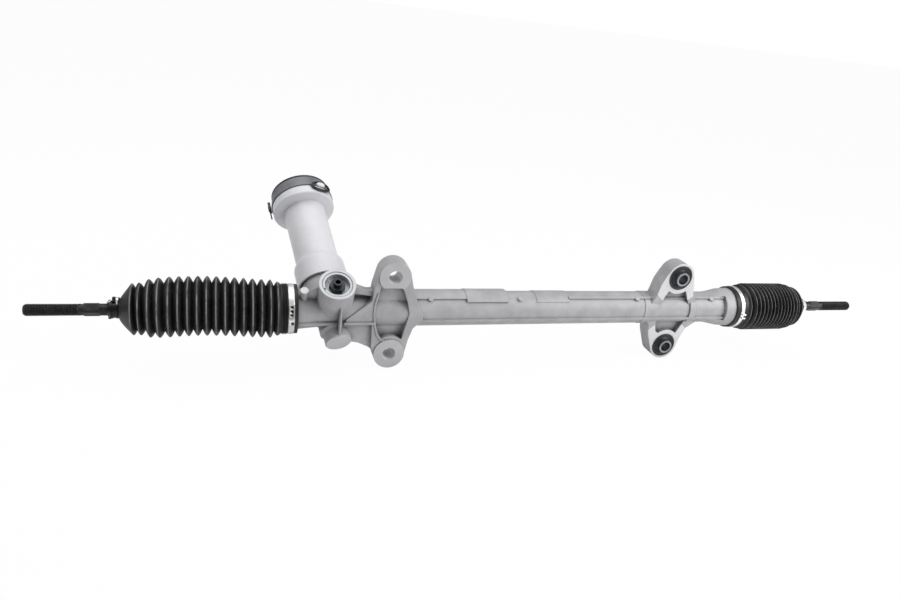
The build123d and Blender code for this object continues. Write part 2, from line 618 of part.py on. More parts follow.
# Rubber ring that seals the cup to the bulkhead, with a strap and pin on one side and a clip on the other
with BuildPart() as cover_seal:
    skirt = [(CUP_R, SEAL_FOOT), (SEAL_RING_R, SEAL_FOOT), (SEAL_RING_R, CUP_RIM + 1), (CUP_R - 1, CUP_RIM + 9)]
    skirt += [(CUP_R - 2.5, CUP_RIM + 16), (CUP_R - 2, CUP_RIM + 17), (CUP_R - 2.2, CUP_RIM + 18.6)]
    skirt += [(cup_hole - 1.4, CUP_RIM + 18.6), (cup_hole - 1.6, CUP_RIM + 16), (cup_hole, CUP_RIM + 4)]
    skirt += [(cup_hole, CUP_RIM), (CUP_R, CUP_RIM)]
    turned(skirt, PINION_SECTION, PINION_AXIS)
export(cover_seal.part, "cover_seal")

strap_r = SEAL_RING_R + 1.4
with BuildPart() as cover_strap:
    on_wall(CUP_R, strap_r, SEAL_FOOT - 3.5, SEAL_FOOT, 11, 45)
    for start in (11, 51):
        on_wall(SEAL_RING_R, strap_r, SEAL_FOOT, SEAL_FOOT + 6.5, start, 5)
export(cover_strap.part, "cover_strap")

with BuildPart() as cover_pin:
    on_wall(SEAL_RING_R, strap_r + 1.4, SEAL_FOOT + 0.5, SEAL_FOOT + 5.5, 17, 33)
export(cover_pin.part, "cover_pin")

with BuildPart() as cover_clip:
    on_wall(CUP_R, strap_r + 1, SEAL_FOOT - 4.5, SEAL_FOOT, -109, 9)
    on_wall(SEAL_RING_R, strap_r + 1, SEAL_FOOT, SEAL_FOOT + 10.5, -109, 9)
    on_wall(strap_r, strap_r + 1, SEAL_FOOT - 13.5, SEAL_FOOT - 4.5, -106, 3)
export(cover_clip.part, "cover_clip")

# Inner ball joints, tie rods, boots and clamps, one set at each end
ends = (("left", -1, BALL_LEFT, BOOT_END_LEFT, HOUSING_LEFT - 2, CLAMP_LEFT),
        ("right", 1, BALL_RIGHT, BOOT_END_RIGHT, HOUSING_RIGHT + 2, CLAMP_RIGHT))
for side, way, ball_x, boot_end, seat_end, clamp_x in ends:
    with BuildPart() as bump_stop:
        disc(across(ball_x - way * SOCKET_BACK), SOCKET_R - 0.5, -way * STOP_THICK, BAR_R)
    export(bump_stop.part, f"bump_stop_{side}")

    with BuildPart() as socket:
        case = [(-SOCKET_BACK - STUD_LENGTH, 0), (-SOCKET_BACK - STUD_LENGTH, STUD_R), (-SOCKET_BACK, STUD_R)]
        case += [(-SOCKET_BACK, SOCKET_R), (4, SOCKET_R), (SOCKET_FRONT, 12.5), (SOCKET_FRONT, 0)]
        turned([(ball_x + way * x, r) for x, r in case])
        with Locations((ball_x, 0, 0)):
            Sphere(SEAT_R + RUN, mode=Mode.SUBTRACT)
        mouth = [(5, 0), (5, 10.2), (6.5, 10.0), (SOCKET_FRONT + 1, 13), (SOCKET_FRONT + 1, 0)]
        turned([(ball_x + way * x, r) for x, r in mouth], mode=Mode.SUBTRACT)
    export(socket.part, f"ball_socket_{side}")

    with BuildPart() as seat:
        with Locations((ball_x, 0, 0)):
            Sphere(SEAT_R)
            Sphere(BALL_R + RUN, mode=Mode.SUBTRACT)
        disc(across(ball_x + way * 4.5), SEAT_R, way * 10, mode=Mode.SUBTRACT)
        disc(across(ball_x - way * 9.5), SEAT_R, -way * 10, mode=Mode.SUBTRACT)
    export(seat.part, f"ball_seat_{side}")

    with BuildPart() as tie_rod:
        with Locations((ball_x, 0, 0)):
            Sphere(BALL_R)
        stem = [(4, 0), (4, NECK_R), (24, NECK_R), (40, ROD_R), (FLATS_START - 1, ROD_R), (FLATS_START, 7.8)]
        stem += [(FLATS_END, 7.8), (FLATS_END + 3, ROD_R - 0.5), (ROD_LENGTH - THREAD_LENGTH, ROD_R)]
        stem += [(ROD_LENGTH - 2, ROD_R), (ROD_LENGTH, ROD_R - 1.6), (ROD_LENGTH, 0)]
        turned([(ball_x + way * x, r) for x, r in stem])
        with BuildSketch(across(ball_x + way * FLATS_START)):
            for turn in (0, 90):
                with Locations(Location((0, 0), turn)):
                    with Locations((ACROSS_FLATS / 2 + 5, 0), (-ACROSS_FLATS / 2 - 5, 0)):
                        Rectangle(10, 20)
        extrude(amount=way * (FLATS_END - FLATS_START), mode=Mode.SUBTRACT)
    export(tie_rod.part, f"tie_rod_{side}")

    length = abs(boot_end - seat_end)
    first, pitch, closing, last = FOLD_SHARES[side]
    folds = [(0.016, 33.5)]
    folds += [(first + pitch * number - closing * number ** 2, RIDGE_R) for number in range(FULL_FOLDS)]
    if side == "left":
        folds += [(last - 0.159, RIDGE_R - 0.4)]
    folds += [(last - 0.109, RIDGE_R - 1.6), (last - 0.049, LAST_FOLD_R + 0.5), (last, LAST_FOLD_R)]
    crests = [(share * length, radius) for share, radius in folds]
    zigzag = [crests[0]]
    for before, after in zip(crests, crests[1:]):
        valley = min(VALLEY_R, before[1] - 3.5, after[1] - 3.5)
        zigzag += [((before[0] + after[0]) / 2, valley), after]
    outside = [(-COLLAR_LENGTH, BOOT_COLLAR_R), (-0.5, BOOT_COLLAR_R)] + zigzag
    outside += [(length, BOOT_NECK_R + 3), (length + 1, BOOT_NECK_R), (length + BOOT_NECK, BOOT_NECK_R)]
    inside = [(length + BOOT_NECK, ROD_R), (length, ROD_R)]
    inside += [(x, r - BOOT_WALL) for x, r in reversed(zigzag)]
    inside += [(0, BOOT_SEAT_R), (-COLLAR_LENGTH, BOOT_SEAT_R)]
    with BuildPart() as boot:
        turned([(seat_end + way * x, r) for x, r in outside + inside])
    export(boot.part, f"boot_{side}")

    with BuildPart() as clamp:
        disc(across(clamp_x), BOOT_COLLAR_R + CLAMP_THICK, CLAMP_WIDTH, BOOT_COLLAR_R + 0.05)
        with BuildSketch(radially(clamp_x + CLAMP_WIDTH / 2, -8 - 22 * (way < 0), BOOT_COLLAR_R + 0.5)):
            Rectangle(CLAMP_WIDTH - 0.6, 6)
            Rectangle(CLAMP_WIDTH - 0.6, 3, mode=Mode.SUBTRACT)
        extrude(amount=4.5)
        with BuildSketch(radially(clamp_x + CLAMP_WIDTH / 2, -8 - 22 * (way < 0), BOOT_COLLAR_R + 4)):
            Rectangle(CLAMP_WIDTH - 0.6, 6)
        extrude(amount=1.2)
    export(clamp.part, f"boot_clamp_{side}")

    with BuildPart() as clip:
        disc(across(boot_end + way * 1.5), BOOT_NECK_R + 0.8, way * 6.5, BOOT_NECK_R)
        with BuildSketch(radially(boot_end + way * 5, 90, BOOT_NECK_R + 0.4)):
            with Locations((-2, 0), (2, 0)):
                Rectangle(1, 4)
        extrude(amount=4.5)
    export(clip.part, f"boot_clip_{side}")
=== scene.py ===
"""Studio scene of a rack-and-pinion steering gear.

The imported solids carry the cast, turned and moulded pieces. This script gives each of them its finish and
makes the pieces whose shape lives in the surface: rubber bellows, band clamps, threaded tie rods and trim.
"""

import json
import logging
import math
from dataclasses import dataclass, field
from enum import Enum
from typing import Any

import bmesh
import bpy
import numpy as np
from mathutils import Matrix, Vector

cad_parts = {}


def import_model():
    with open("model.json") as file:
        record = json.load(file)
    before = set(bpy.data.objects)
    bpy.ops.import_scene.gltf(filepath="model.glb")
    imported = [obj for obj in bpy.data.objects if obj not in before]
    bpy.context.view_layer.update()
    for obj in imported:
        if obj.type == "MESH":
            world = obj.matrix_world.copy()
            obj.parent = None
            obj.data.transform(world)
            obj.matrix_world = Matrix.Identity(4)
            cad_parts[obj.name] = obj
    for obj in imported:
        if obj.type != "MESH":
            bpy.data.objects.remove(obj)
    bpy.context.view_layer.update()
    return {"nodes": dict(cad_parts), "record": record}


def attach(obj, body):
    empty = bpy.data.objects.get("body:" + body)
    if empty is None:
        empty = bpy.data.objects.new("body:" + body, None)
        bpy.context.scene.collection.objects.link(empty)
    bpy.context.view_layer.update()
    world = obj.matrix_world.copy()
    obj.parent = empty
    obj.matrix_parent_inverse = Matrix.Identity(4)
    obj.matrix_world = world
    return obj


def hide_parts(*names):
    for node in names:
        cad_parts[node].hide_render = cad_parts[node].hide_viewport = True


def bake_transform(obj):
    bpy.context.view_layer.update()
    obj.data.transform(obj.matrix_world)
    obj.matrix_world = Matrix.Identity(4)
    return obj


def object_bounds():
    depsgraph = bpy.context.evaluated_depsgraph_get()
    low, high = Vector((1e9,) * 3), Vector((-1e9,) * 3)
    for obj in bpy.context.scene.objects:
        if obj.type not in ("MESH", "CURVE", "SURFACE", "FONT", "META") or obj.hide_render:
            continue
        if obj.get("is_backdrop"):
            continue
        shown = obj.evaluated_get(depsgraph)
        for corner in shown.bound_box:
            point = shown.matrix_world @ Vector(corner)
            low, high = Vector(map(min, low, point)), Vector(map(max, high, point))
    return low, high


LOG = logging.getLogger("steering_gear")
MM = 0.001
TAU = 2 * math.pi
Colour = tuple[float, float, float]

# The pinion's axis leans from square to the rack and is turned from +Z towards +Y. The yoke's axis crosses
# the rack's. Lengths are in millimetres.
LEAN = math.radians(8.26)
TURN = math.radians(58.0)
PINION_DIR = np.array([-math.sin(LEAN), math.cos(LEAN) * math.sin(TURN), math.cos(LEAN) * math.cos(TURN)])
YOKE_DIR = np.array([0.0, -math.cos(TURN), math.sin(TURN)])
PINION_SIDE = np.cross(PINION_DIR, YOKE_DIR)
CROSSING = np.array([-279.0, 0.0, 0.0])
PINION_MID = CROSSING - 16.5 * YOKE_DIR

# Bolt holes of the ears, which stand at plus and minus these places, and the ears' faces along Y.
EAR_X = 207.5
EAR_Z = 53.2
LEFT_EAR_FACE = -26.0
RIGHT_EAR_FACE = -19.3

# Ends of the two boots along X.
LEFT_BOOT_END = -525.5
RIGHT_BOOT_END = 449.5

# Edges turn sharp past this angle, and points nearer than this distance in metres become one.
SHARP_EDGE = math.radians(35.0)
MERGE_DISTANCE = 1e-6


class Side(Enum):
    """End of the rack, with its direction along X."""

    LEFT = -1
    RIGHT = 1

    @property
    def word(self) -> str:
        """Name of the side in lower case."""
        return self.name.lower()


# Mesh helpers


def turn(steps: int) -> np.ndarray:
    """Angles of one full turn in even steps, as a row."""
    return np.linspace(0, TAU, steps, endpoint=False)[None, :]


def about_x(x: np.ndarray, r: np.ndarray, a: np.ndarray) -> np.ndarray:
    """Points about the X axis at radius r and angle a: y = -r cos a and z = r sin a."""
    return np.stack(np.broadcast_arrays(x, -r * np.cos(a), r * np.sin(a)), -1)


def linked(name: str, data: bpy.types.ID) -> bpy.types.Object:
    """New object with the given data, linked to the scene."""
    made = bpy.data.objects.new(name, data)
    bpy.context.scene.collection.objects.link(made)
    return made


def grid_mesh(name: str, points: np.ndarray, around: bool, along: bool = False, caps: bool = False
              ) -> bpy.types.Object:
    """Mesh of a surface given as a grid of points.

    Args:
        name: Name of the new object.
        points: Array of shape (rows, columns, 3) in millimetres.
        around: Whether the columns close on themselves.
        along: Whether the rows close on themselves.
        caps: Whether the first and last row are each closed with one face.

    Returns:
        The object, in metres at the origin.
    """
    rows, columns = points.shape[:2]
    r = np.arange(rows if along else rows - 1)[:, None]
    c = np.arange(columns if around else columns - 1)[None, :]
    r2, c2 = (r + 1) % rows, (c + 1) % columns
    corners = (r * columns + c, r * columns + c2, r2 * columns + c2, r2 * columns + c)
    quads = np.stack([np.broadcast_to(k, (r.shape[0], c.shape[1])) for k in corners], -1).reshape(-1, 4)
    faces = quads.tolist()
    if caps:
        faces.append(list(range(columns))[::-1])
        faces.append(list(range((rows - 1) * columns, rows * columns)))
    return faced_mesh(name, points, faces)


def faced_mesh(name: str, points: np.ndarray, faces: list[list[int]]) -> bpy.types.Object:
    """Mesh of points and faces, with its faces turned outward and smooth but for its sharp edges.

    Args:
        name: Name of the new object.
        points: Array whose last axis holds places in millimetres.
        faces: Numbers of the points of each face.

    Returns:
        The object, in metres at the origin.
    """
    mesh = bpy.data.meshes.new(name)
    mesh.from_pydata((points.reshape(-1, 3) * MM).tolist(), [], faces)
    work = bmesh.new()
    work.from_mesh(mesh)
    bmesh.ops.remove_doubles(work, verts=work.verts, dist=MERGE_DISTANCE)
    bmesh.ops.recalc_face_normals(work, faces=work.faces)
    work.to_mesh(mesh)
    work.free()
    mesh.polygons.foreach_set("use_smooth", np.ones(len(mesh.polygons), bool))
    mesh.set_sharp_from_angle(angle=SHARP_EDGE)
    mesh.update()
    return linked(name, mesh)


def joined(name: str, parts: list[bpy.types.Object]) -> bpy.types.Object:
    """Join several objects at the origin into one.

    Args:
        name: Name of the result.
        parts: Objects to join.

    Returns:
        The joined object.
    """
    with bpy.context.temp_override(active_object=parts[0], selected_editable_objects=parts):
        bpy.ops.object.join()
    parts[0].name = name
    return parts[0]


def round_x(profile: np.ndarray, segments: int) -> np.ndarray:
    """Turn a profile about the X axis, all the way round.

    Args:
        profile: Array of (x, r) pairs in millimetres.
        segments: Number of columns round the axis.

    Returns:
        Grid of points, one row for each pair.
    """
    return about_x(profile[:, :1], profile[:, 1:2], turn(segments))


def block(centre: np.ndarray, axes: np.ndarray, half: tuple[float, float, float], name: str,
          bevel: float = 0.3) -> bpy.types.Object:
    """Small block with rounded edges, lofted from a rounded rectangle.

    Args:
        centre: Middle of the block in millimetres.
        axes: Three unit rows: length, width and height.
        half: Half sizes along the three axes in millimetres.
        name: Name of the new object.
        bevel: Radius of the rounded edges in millimetres.

    Returns:
        The object at the origin.
    """
    quarter = np.linspace(0, TAU / 4, 4)
    turns = np.concatenate([quarter + k * TAU / 4 for k in range(4)])
    signs = np.array([(1, 1), (-1, 1), (-1, -1), (1, -1)])[np.repeat(np.arange(4), 4)]
    lift = np.linspace(-TAU / 4, TAU / 4, 8)
    rows = []
    for t in lift:
        shrink = bevel * (1 - math.cos(t))
        height = math.copysign(half[2] - bevel, t) + bevel * math.sin(t)
        u = signs[:, 0] * (half[0] - bevel) + (bevel - shrink) * np.cos(turns)
        v = signs[:, 1] * (half[1] - bevel) + (bevel - shrink) * np.sin(turns)
        rows.append(centre + u[:, None] * axes[0] + v[:, None] * axes[1] + height * axes[2])
    return grid_mesh(name, np.array(rows), around=True, caps=True)


def wire(name: str, stops: list[tuple[float, float, float]], radius: float) -> bpy.types.Object:
    """Round wire along a smooth path that runs mostly along X and Z.

    The path is a Catmull-Rom curve through the stops, seven points to a span. Each ring of the wire is drawn
    on two directions, Y and the one square to Y and to the path.

    Args:
        name: Name of the new object.
        stops: Points of the path in millimetres.
        radius: Radius of the wire in millimetres.

    Returns:
        The object at the origin.
    """
    p = np.array([stops[0], *stops, stops[-1]], float)
    u = np.linspace(0, 1, 7)[:, None]
    spans = [0.5 * (2 * b + (c - a) * u + (2 * a - 5 * b + 4 * c - d) * u ** 2
                    + (3 * b - a - 3 * c + d) * u ** 3)
             for a, b, c, d in zip(p, p[1:], p[2:], p[3:])]
    line = np.concatenate([spans[0], *[span[1:] for span in spans[1:]]])
    way = np.gradient(line, axis=0)
    way /= np.linalg.norm(way, axis=1, keepdims=True)
    side = np.array([0.0, 1.0, 0.0])
    up = np.cross(side, way)
    a = turn(12)[..., None]
    rings = line[:, None] + radius * (np.cos(a) * side + np.sin(a) * up[:, None])
    return grid_mesh(name, rings, around=True, caps=True)


def outward(angle: float) -> np.ndarray:
    """Rows along the rack, round it and out of it, at an angle in degrees above the -Y side."""
    a = math.radians(angle)
    out = np.array([0.0, -math.cos(a), math.sin(a)])
    return np.array([(1.0, 0.0, 0.0), (0.0, math.sin(a), math.cos(a)), out])


# Shader helpers


class Tree:
    """Short calls on a node tree."""

    def __init__(self, tree: bpy.types.NodeTree) -> None:
        """Keep the tree to work on."""
        self.tree = tree

    @classmethod
    def emptied(cls, owner: bpy.types.Material | bpy.types.World) -> "Tree":
        """Tree of a material or a world, with its nodes taken out."""
        owner.use_nodes = True
        owner.node_tree.nodes.clear()
        return cls(owner.node_tree)

    def node(self, kind: str, settings: dict[str, Any] | None = None, **inputs: Any) -> bpy.types.Node:
        """Add a node.

        Args:
            kind: Node type without its ShaderNode prefix.
            settings: Values of the node's own properties.
            inputs: Values or output sockets for its inputs, with _ for a space and iN for input number N.

        Returns:
            The new node.
        """
        made = self.tree.nodes.new("ShaderNode" + kind)
        for key, value in (settings or {}).items():
            setattr(made, key, value)
        for key, value in inputs.items():
            numbered = key[0] == "i" and key[1:].isdigit()
            socket = made.inputs[int(key[1:]) if numbered else key.replace("_", " ")]
            if isinstance(value, bpy.types.NodeSocket):
                self.tree.links.new(value, socket)
            else:
                socket.default_value = value
        return made

    def group(self, tree: bpy.types.NodeTree, **inputs: Any) -> bpy.types.Node:
        """Add one of the shared groups."""
        return self.node("Group", {"node_tree": tree}, **inputs)

    def place(self) -> bpy.types.NodeSocket:
        """Place on the piece, in its own coordinates."""
        return self.node("TexCoord").outputs["Object"]

    def noise(self, **inputs: Any) -> bpy.types.NodeSocket:
        """Value of a noise that is fixed to the piece."""
        return self.node("TexNoise", Vector=self.place(), **inputs).outputs[0]

    def vector(self, operation: str, **inputs: Any) -> bpy.types.NodeSocket:
        """Result of a VectorMath node, a number for a dot product or a length and else a vector."""
        made = self.node("VectorMath", {"operation": operation}, **inputs)
        return made.outputs["Value" if operation in ("DOT_PRODUCT", "LENGTH") else "Vector"]

    def math(self, operation: str, first: Any, second: Any = 0.5, clamp: bool = False
             ) -> bpy.types.NodeSocket:
        """Result of a Math node on one or two values."""
        settings = {"operation": operation, "use_clamp": clamp}
        return self.node("Math", settings, i0=first, i1=second).outputs[0]

    def ramp(self, value: Any, low: float, high: float) -> bpy.types.NodeSocket:
        """Smooth step of a value from low to high."""
        settings = {"interpolation_type": "SMOOTHSTEP"}
        return self.node("MapRange", settings, Value=value, From_Min=low, From_Max=high).outputs[0]

    def mix(self, factor: Any, first: Any, second: Any) -> bpy.types.NodeSocket:
        """Mix of two colours."""
        made = self.tree.nodes.new("ShaderNodeMix")
        made.data_type = "RGBA"
        for number, value in ((0, factor), (6, first), (7, second)):
            if isinstance(value, bpy.types.NodeSocket):
                self.tree.links.new(value, made.inputs[number])
            else:
                made.inputs[number].default_value = (*value, 1.0) if number else value
        return made.outputs[2]


class Effects:
    """Shader node groups that several finishes share, each built once."""

    def __init__(self) -> None:
        """Build the groups."""
        self.grain = self._grain()
        self.edges = self._edges()
        self.dust = self._dust()
        self.grime = self._shade_and_grime()
        self.spot = self._spot()
        self.turning = self._turning()

    @staticmethod
    def _group(name: str, inputs: dict[str, Any], outputs: dict[str, str]
               ) -> tuple[bpy.types.NodeTree, Tree, Any, Any]:
        """New group with its sockets.

        Args:
            name: Name of the group.
            inputs: Default value of each input; a triple makes a vector.
            outputs: Socket type of each output.

        Returns:
            The group, its tree helper, its input node and its output node.
        """
        group = bpy.data.node_groups.new(name, "ShaderNodeTree")
        for key, value in inputs.items():
            kind = "NodeSocketVector" if isinstance(value, tuple) else "NodeSocketFloat"
            group.interface.new_socket(name=key, in_out="INPUT", socket_type=kind).default_value = value
        for key, kind in outputs.items():
            group.interface.new_socket(name=key, in_out="OUTPUT", socket_type="NodeSocket" + kind)
        tree = Tree(group)
        return group, tree, group.nodes.new("NodeGroupInput"), group.nodes.new("NodeGroupOutput")

    def _grain(self) -> bpy.types.NodeTree:
        """Skin of a casting or moulding: broad clouds for the shade and fine grain for the height."""
        group, t, given, out = self._group(
            "Grain", {"Scale": 1000.0, "Clouds": 40.0}, {"Shade": "Float", "Height": "Float"})
        fine = t.noise(Scale=given.outputs["Scale"], Detail=3.0, Roughness=0.6)
        broad = t.noise(Scale=given.outputs["Clouds"], Detail=4.0, Roughness=0.55)
        shade = t.math("ADD", t.math("MULTIPLY", broad, 0.7), t.math("MULTIPLY", fine, 0.3))
        group.links.new(shade, out.inputs["Shade"])
        group.links.new(fine, out.inputs["Height"])
        return group

    def _edges(self) -> bpy.types.NodeTree:
        """Rounded edges and where they are: a mask from how far the rounded normal turns off the face's."""
        group, t, given, out = self._group(
            "Edges", {"Radius": 0.001, "Gain": 4.0}, {"Mask": "Float", "Normal": "Vector"})
        rounded = t.node("Bevel", {"samples": 6}, Radius=given.outputs["Radius"]).outputs[0]
        turned = t.vector("DOT_PRODUCT", i0=rounded, i1=t.node("NewGeometry").outputs["Normal"])
        worn = t.math("MULTIPLY", t.math("SUBTRACT", 1.0, turned), given.outputs["Gain"], clamp=True)
        group.links.new(worn, out.inputs["Mask"])
        group.links.new(rounded, out.inputs["Normal"])
        return group

    def _dust(self) -> bpy.types.NodeTree:
        """Thin dust in patches, thicker on what faces up."""
        group, t, given, out = self._group("Dust", {"Amount": 0.1, "Scale": 120.0}, {"Mask": "Float"})
        patches = t.noise(Scale=given.outputs["Scale"], Detail=5.0, Roughness=0.65)
        up = t.node("SeparateXYZ", i0=t.node("NewGeometry").outputs["Normal"]).outputs[2]
        facing_up = t.math("ADD", t.ramp(up, -0.2, 1.0), 0.35)
        spread = t.math("MULTIPLY", t.ramp(patches, 0.4, 0.7), facing_up)
        group.links.new(t.math("MULTIPLY", spread, given.outputs["Amount"], clamp=True), out.inputs["Mask"])
        return group

    def _shade_and_grime(self) -> bpy.types.NodeTree:
        """Painted shade, with some dirt, in corners: a mask from how much of the sky above a point its
        neighbours hide.
        """
        group, t, given, out = self._group("Grime", {"Amount": 0.5, "Reach": 0.008}, {"Mask": "Float"})
        open_sky = t.node("AmbientOcclusion", {"samples": 6}, Distance=given.outputs["Reach"]).outputs["AO"]
        hidden = t.ramp(t.math("SUBTRACT", 1.0, open_sky), 0.12, 0.75)
        group.links.new(t.math("MULTIPLY", hidden, given.outputs["Amount"], clamp=True), out.inputs["Mask"])
        return group

    def _spot(self) -> bpy.types.NodeTree:
        """Round machined face: a mask that is 1 near a plane and within a radius of its centre."""
        group, t, given, out = self._group(
            "Machined face",
            {"Centre": (0.0, 0.0, 0.0), "Axis": (0.0, 0.0, 1.0), "Radius": 0.02, "Reach": 0.0005},
            {"Mask": "Float", "Distance": "Float"})
        axis = given.outputs["Axis"]
        away = t.vector("SUBTRACT", i0=t.place(), i1=given.outputs["Centre"])
        height = t.vector("DOT_PRODUCT", i0=away, i1=axis)
        flat = t.vector("SUBTRACT", i0=away, i1=t.vector("SCALE", Vector=axis, Scale=height))
        distance = t.vector("LENGTH", i0=flat)
        near = t.math("LESS_THAN", t.math("ABSOLUTE", height), given.outputs["Reach"])
        within = t.math("LESS_THAN", distance, given.outputs["Radius"])
        group.links.new(t.math("MULTIPLY", near, within), out.inputs["Mask"])
        group.links.new(distance, out.inputs["Distance"])
        return group

    def _turning(self) -> bpy.types.NodeTree:
        """Tool marks round an axis: a sine of the distance, broken up by noise."""
        group, t, given, out = self._group("Turning", {"Distance": 0.0, "Pitch": 0.0004}, {"Height": "Float"})
        turns = t.math("DIVIDE", given.outputs["Distance"], given.outputs["Pitch"])
        phase = t.math("ADD", turns, t.noise(Scale=300.0, Detail=2.0))
        group.links.new(t.math("SINE", t.math("MULTIPLY", phase, TAU)), out.inputs["Height"])
        return group


@dataclass(frozen=True)
class Finish:
    """Finish of one material, with the values of its shared effects. Colours are linear."""

    name: str
    colour: Colour
    metallic: float = 0.0
    roughness: float = 0.5
    clouds: float = 40.0
    mottle: float = 0.12
    grain: float = 1000.0
    depth: float = 0.1
    # Rounded edges: their radius and the gain of their mask. The bevelled normal there is real shading, but
    # the lighter edge colour is a painted highlight.
    edge: float = 0.4
    edge_gain: float = 1.5
    edge_highlight_colour: Colour | None = None
    dust: float = 0.0
    dust_colour: Colour = (0.35, 0.34, 0.33)
    # The next three values paint shade, with some dirt, into corners and recesses: how much, how far it
    # reaches in millimetres, and its colour.
    grime: float = 0.0
    shade_and_grime_reach: float = 9.0
    shade_and_grime_colour: Colour = (0.05, 0.05, 0.055)

    def build(self, effects: Effects) -> bpy.types.Material:
        """Make the material.

        Args:
            effects: Shared node groups.

        Returns:
            The material.
        """
        made = bpy.data.materials.new(self.name)
        t = Tree.emptied(made)
        colour, rough, metal, height, normal = self.layers(t, effects)
        bump = t.node("Bump", Strength=1.0, Distance=self.depth * MM, Height=height, Normal=normal)
        shader = t.node(
            "BsdfPrincipled", Base_Color=colour, Roughness=rough, Metallic=metal, Normal=bump.outputs[0])
        self.tune(shader)
        t.node("OutputMaterial", Surface=shader.outputs[0])
        return made

    def layers(self, t: Tree, effects: Effects) -> tuple[Any, Any, Any, Any, Any]:
        """Colour, roughness, metallic, height and normal of the surface.

        Args:
            t: Tree of the material.
            effects: Shared node groups.

        Returns:
            The five sockets or values.
        """
        skin = t.group(effects.grain, Scale=self.grain, Clouds=self.clouds)
        edges = t.group(effects.edges, Radius=self.edge * MM, Gain=self.edge_gain)
        low = tuple(c * (1 - self.mottle) for c in self.colour)
        high = tuple(min(1.0, c * (1 + self.mottle)) for c in self.colour)
        colour = t.mix(t.ramp(skin.outputs["Shade"], 0.3, 0.7), low, high)
        # A lighter colour along rounded edges: a painted highlight.
        edge_highlight = self.edge_highlight_colour or tuple(min(1.0, c * 1.35) for c in self.colour)
        colour = t.mix(edges.outputs["Mask"], colour, edge_highlight)
        rough = t.math("ADD", t.math("MULTIPLY", skin.outputs["Shade"], 0.16), self.roughness - 0.08)
        # Darker colour where neighbours hide the sky: painted shade in corners, with some dirt.
        if self.grime:
            shade_and_dirt = t.group(effects.grime, Amount=self.grime, Reach=self.shade_and_grime_reach * MM)
            colour = t.mix(shade_and_dirt.outputs["Mask"], colour, self.shade_and_grime_colour)
        if self.dust:
            film = t.group(effects.dust, Amount=self.dust)
            colour = t.mix(film.outputs["Mask"], colour, self.dust_colour)
            rough = t.math("ADD", rough, t.math("MULTIPLY", film.outputs["Mask"], 0.4), clamp=True)
        return colour, rough, self.metallic, skin.outputs["Height"], edges.outputs["Normal"]

    def tune(self, shader: bpy.types.Node) -> None:
        """Set what only this finish needs on its shader; nothing here."""


@dataclass(frozen=True)
class Patch:
    """Stretch of a surface near a plane and within a radius of its centre, with its own finish.

    A machined face is bright and carries tool marks of the given pitch; with a pitch of 0 it has none.
    """

    centre: tuple[float, float, float]
    axis: tuple[float, float, float]
    radius: float
    reach: float = 0.6
    share: float = 1.0
    colour: Colour = (0.74, 0.74, 0.76)
    roughness: float = 0.36
    pitch: float = 0.5


@dataclass(frozen=True)
class PatchedFinish(Finish):
    """Cast or moulded skin with patches of another finish, such as machined faces, over it."""

    patches: tuple[Patch, ...] = ()

    def layers(self, t: Tree, effects: Effects) -> tuple[Any, Any, Any, Any, Any]:
        """Plain layers with the patches mixed over them. Args and Returns as on Finish."""
        colour, rough, metal, height, normal = Finish.layers(self, t, effects)
        for patch in self.patches:
            face = t.group(
                effects.spot, Centre=tuple(c * MM for c in patch.centre), Axis=patch.axis,
                Radius=patch.radius * MM, Reach=patch.reach * MM)
            mask = t.math("MULTIPLY", face.outputs["Mask"], patch.share)
            bare = t.math("SUBTRACT", 1.0, mask)
            colour = t.mix(mask, colour, patch.colour)
            rough = t.math("ADD", t.math("MULTIPLY", rough, bare), t.math("MULTIPLY", mask, patch.roughness))
            lined = 0.5
            if patch.pitch:
                marks = t.group(effects.turning, Distance=face.outputs["Distance"], Pitch=patch.pitch * MM)
                lined = t.math("ADD", t.math("MULTIPLY", marks.outputs[0], 0.12), 0.5)
            height = t.math("ADD", t.math("MULTIPLY", height, bare), t.math("MULTIPLY", lined, mask))
        return colour, rough, metal, height, normal


@dataclass(frozen=True)
class TurnedFinish(Finish):
    """Turned metal with fine marks round an axis through a centre."""

    centre: tuple[float, float, float] = (0.0, 0.0, 0.0)
    axis: tuple[float, float, float] = (1.0, 0.0, 0.0)
    pitch: float = 0.35

    def layers(self, t: Tree, effects: Effects) -> tuple[Any, Any, Any, Any, Any]:
        """Plain layers with tool marks added to the height. Args and Returns as on Finish."""
        colour, rough, metal, height, normal = Finish.layers(self, t, effects)
        face = t.group(effects.spot, Centre=tuple(c * MM for c in self.centre), Axis=self.axis)
        marks = t.group(effects.turning, Distance=face.outputs["Distance"], Pitch=self.pitch * MM)
        height = t.math("ADD", t.math("MULTIPLY", height, 0.4), t.math("MULTIPLY", marks.outputs[0], 0.3))
        return colour, rough, metal, height, normal


@dataclass(frozen=True)
class FoldFinish(Finish):
    """Moulded rubber of a bellows: black in the valleys, with a painted highlight in a narrow line along each
    crest.
    """

    crest_highlight_colour: Colour = (0.2, 0.2, 0.21)
    line: tuple[float, float] = (0.93, 0.99)

    def layers(self, t: Tree, effects: Effects) -> tuple[Any, Any, Any, Any, Any]:
        """Plain layers with the painted crest highlights over them. Args and Returns as on Finish."""
        colour, rough, metal, height, normal = Finish.layers(self, t, effects)
        # Nearness to the crest places the painted highlight, and noise varies its strength.
        fold = t.node("Attribute", {"attribute_name": "fold"}).outputs["Fac"]
        strength = t.math("ADD", t.ramp(t.noise(Scale=70.0, Detail=3.0), 0.3, 0.7), 0.35)
        line = t.math("MULTIPLY", t.ramp(fold, *self.line), strength, clamp=True)
        return t.mix(line, colour, self.crest_highlight_colour), rough, metal, height, normal


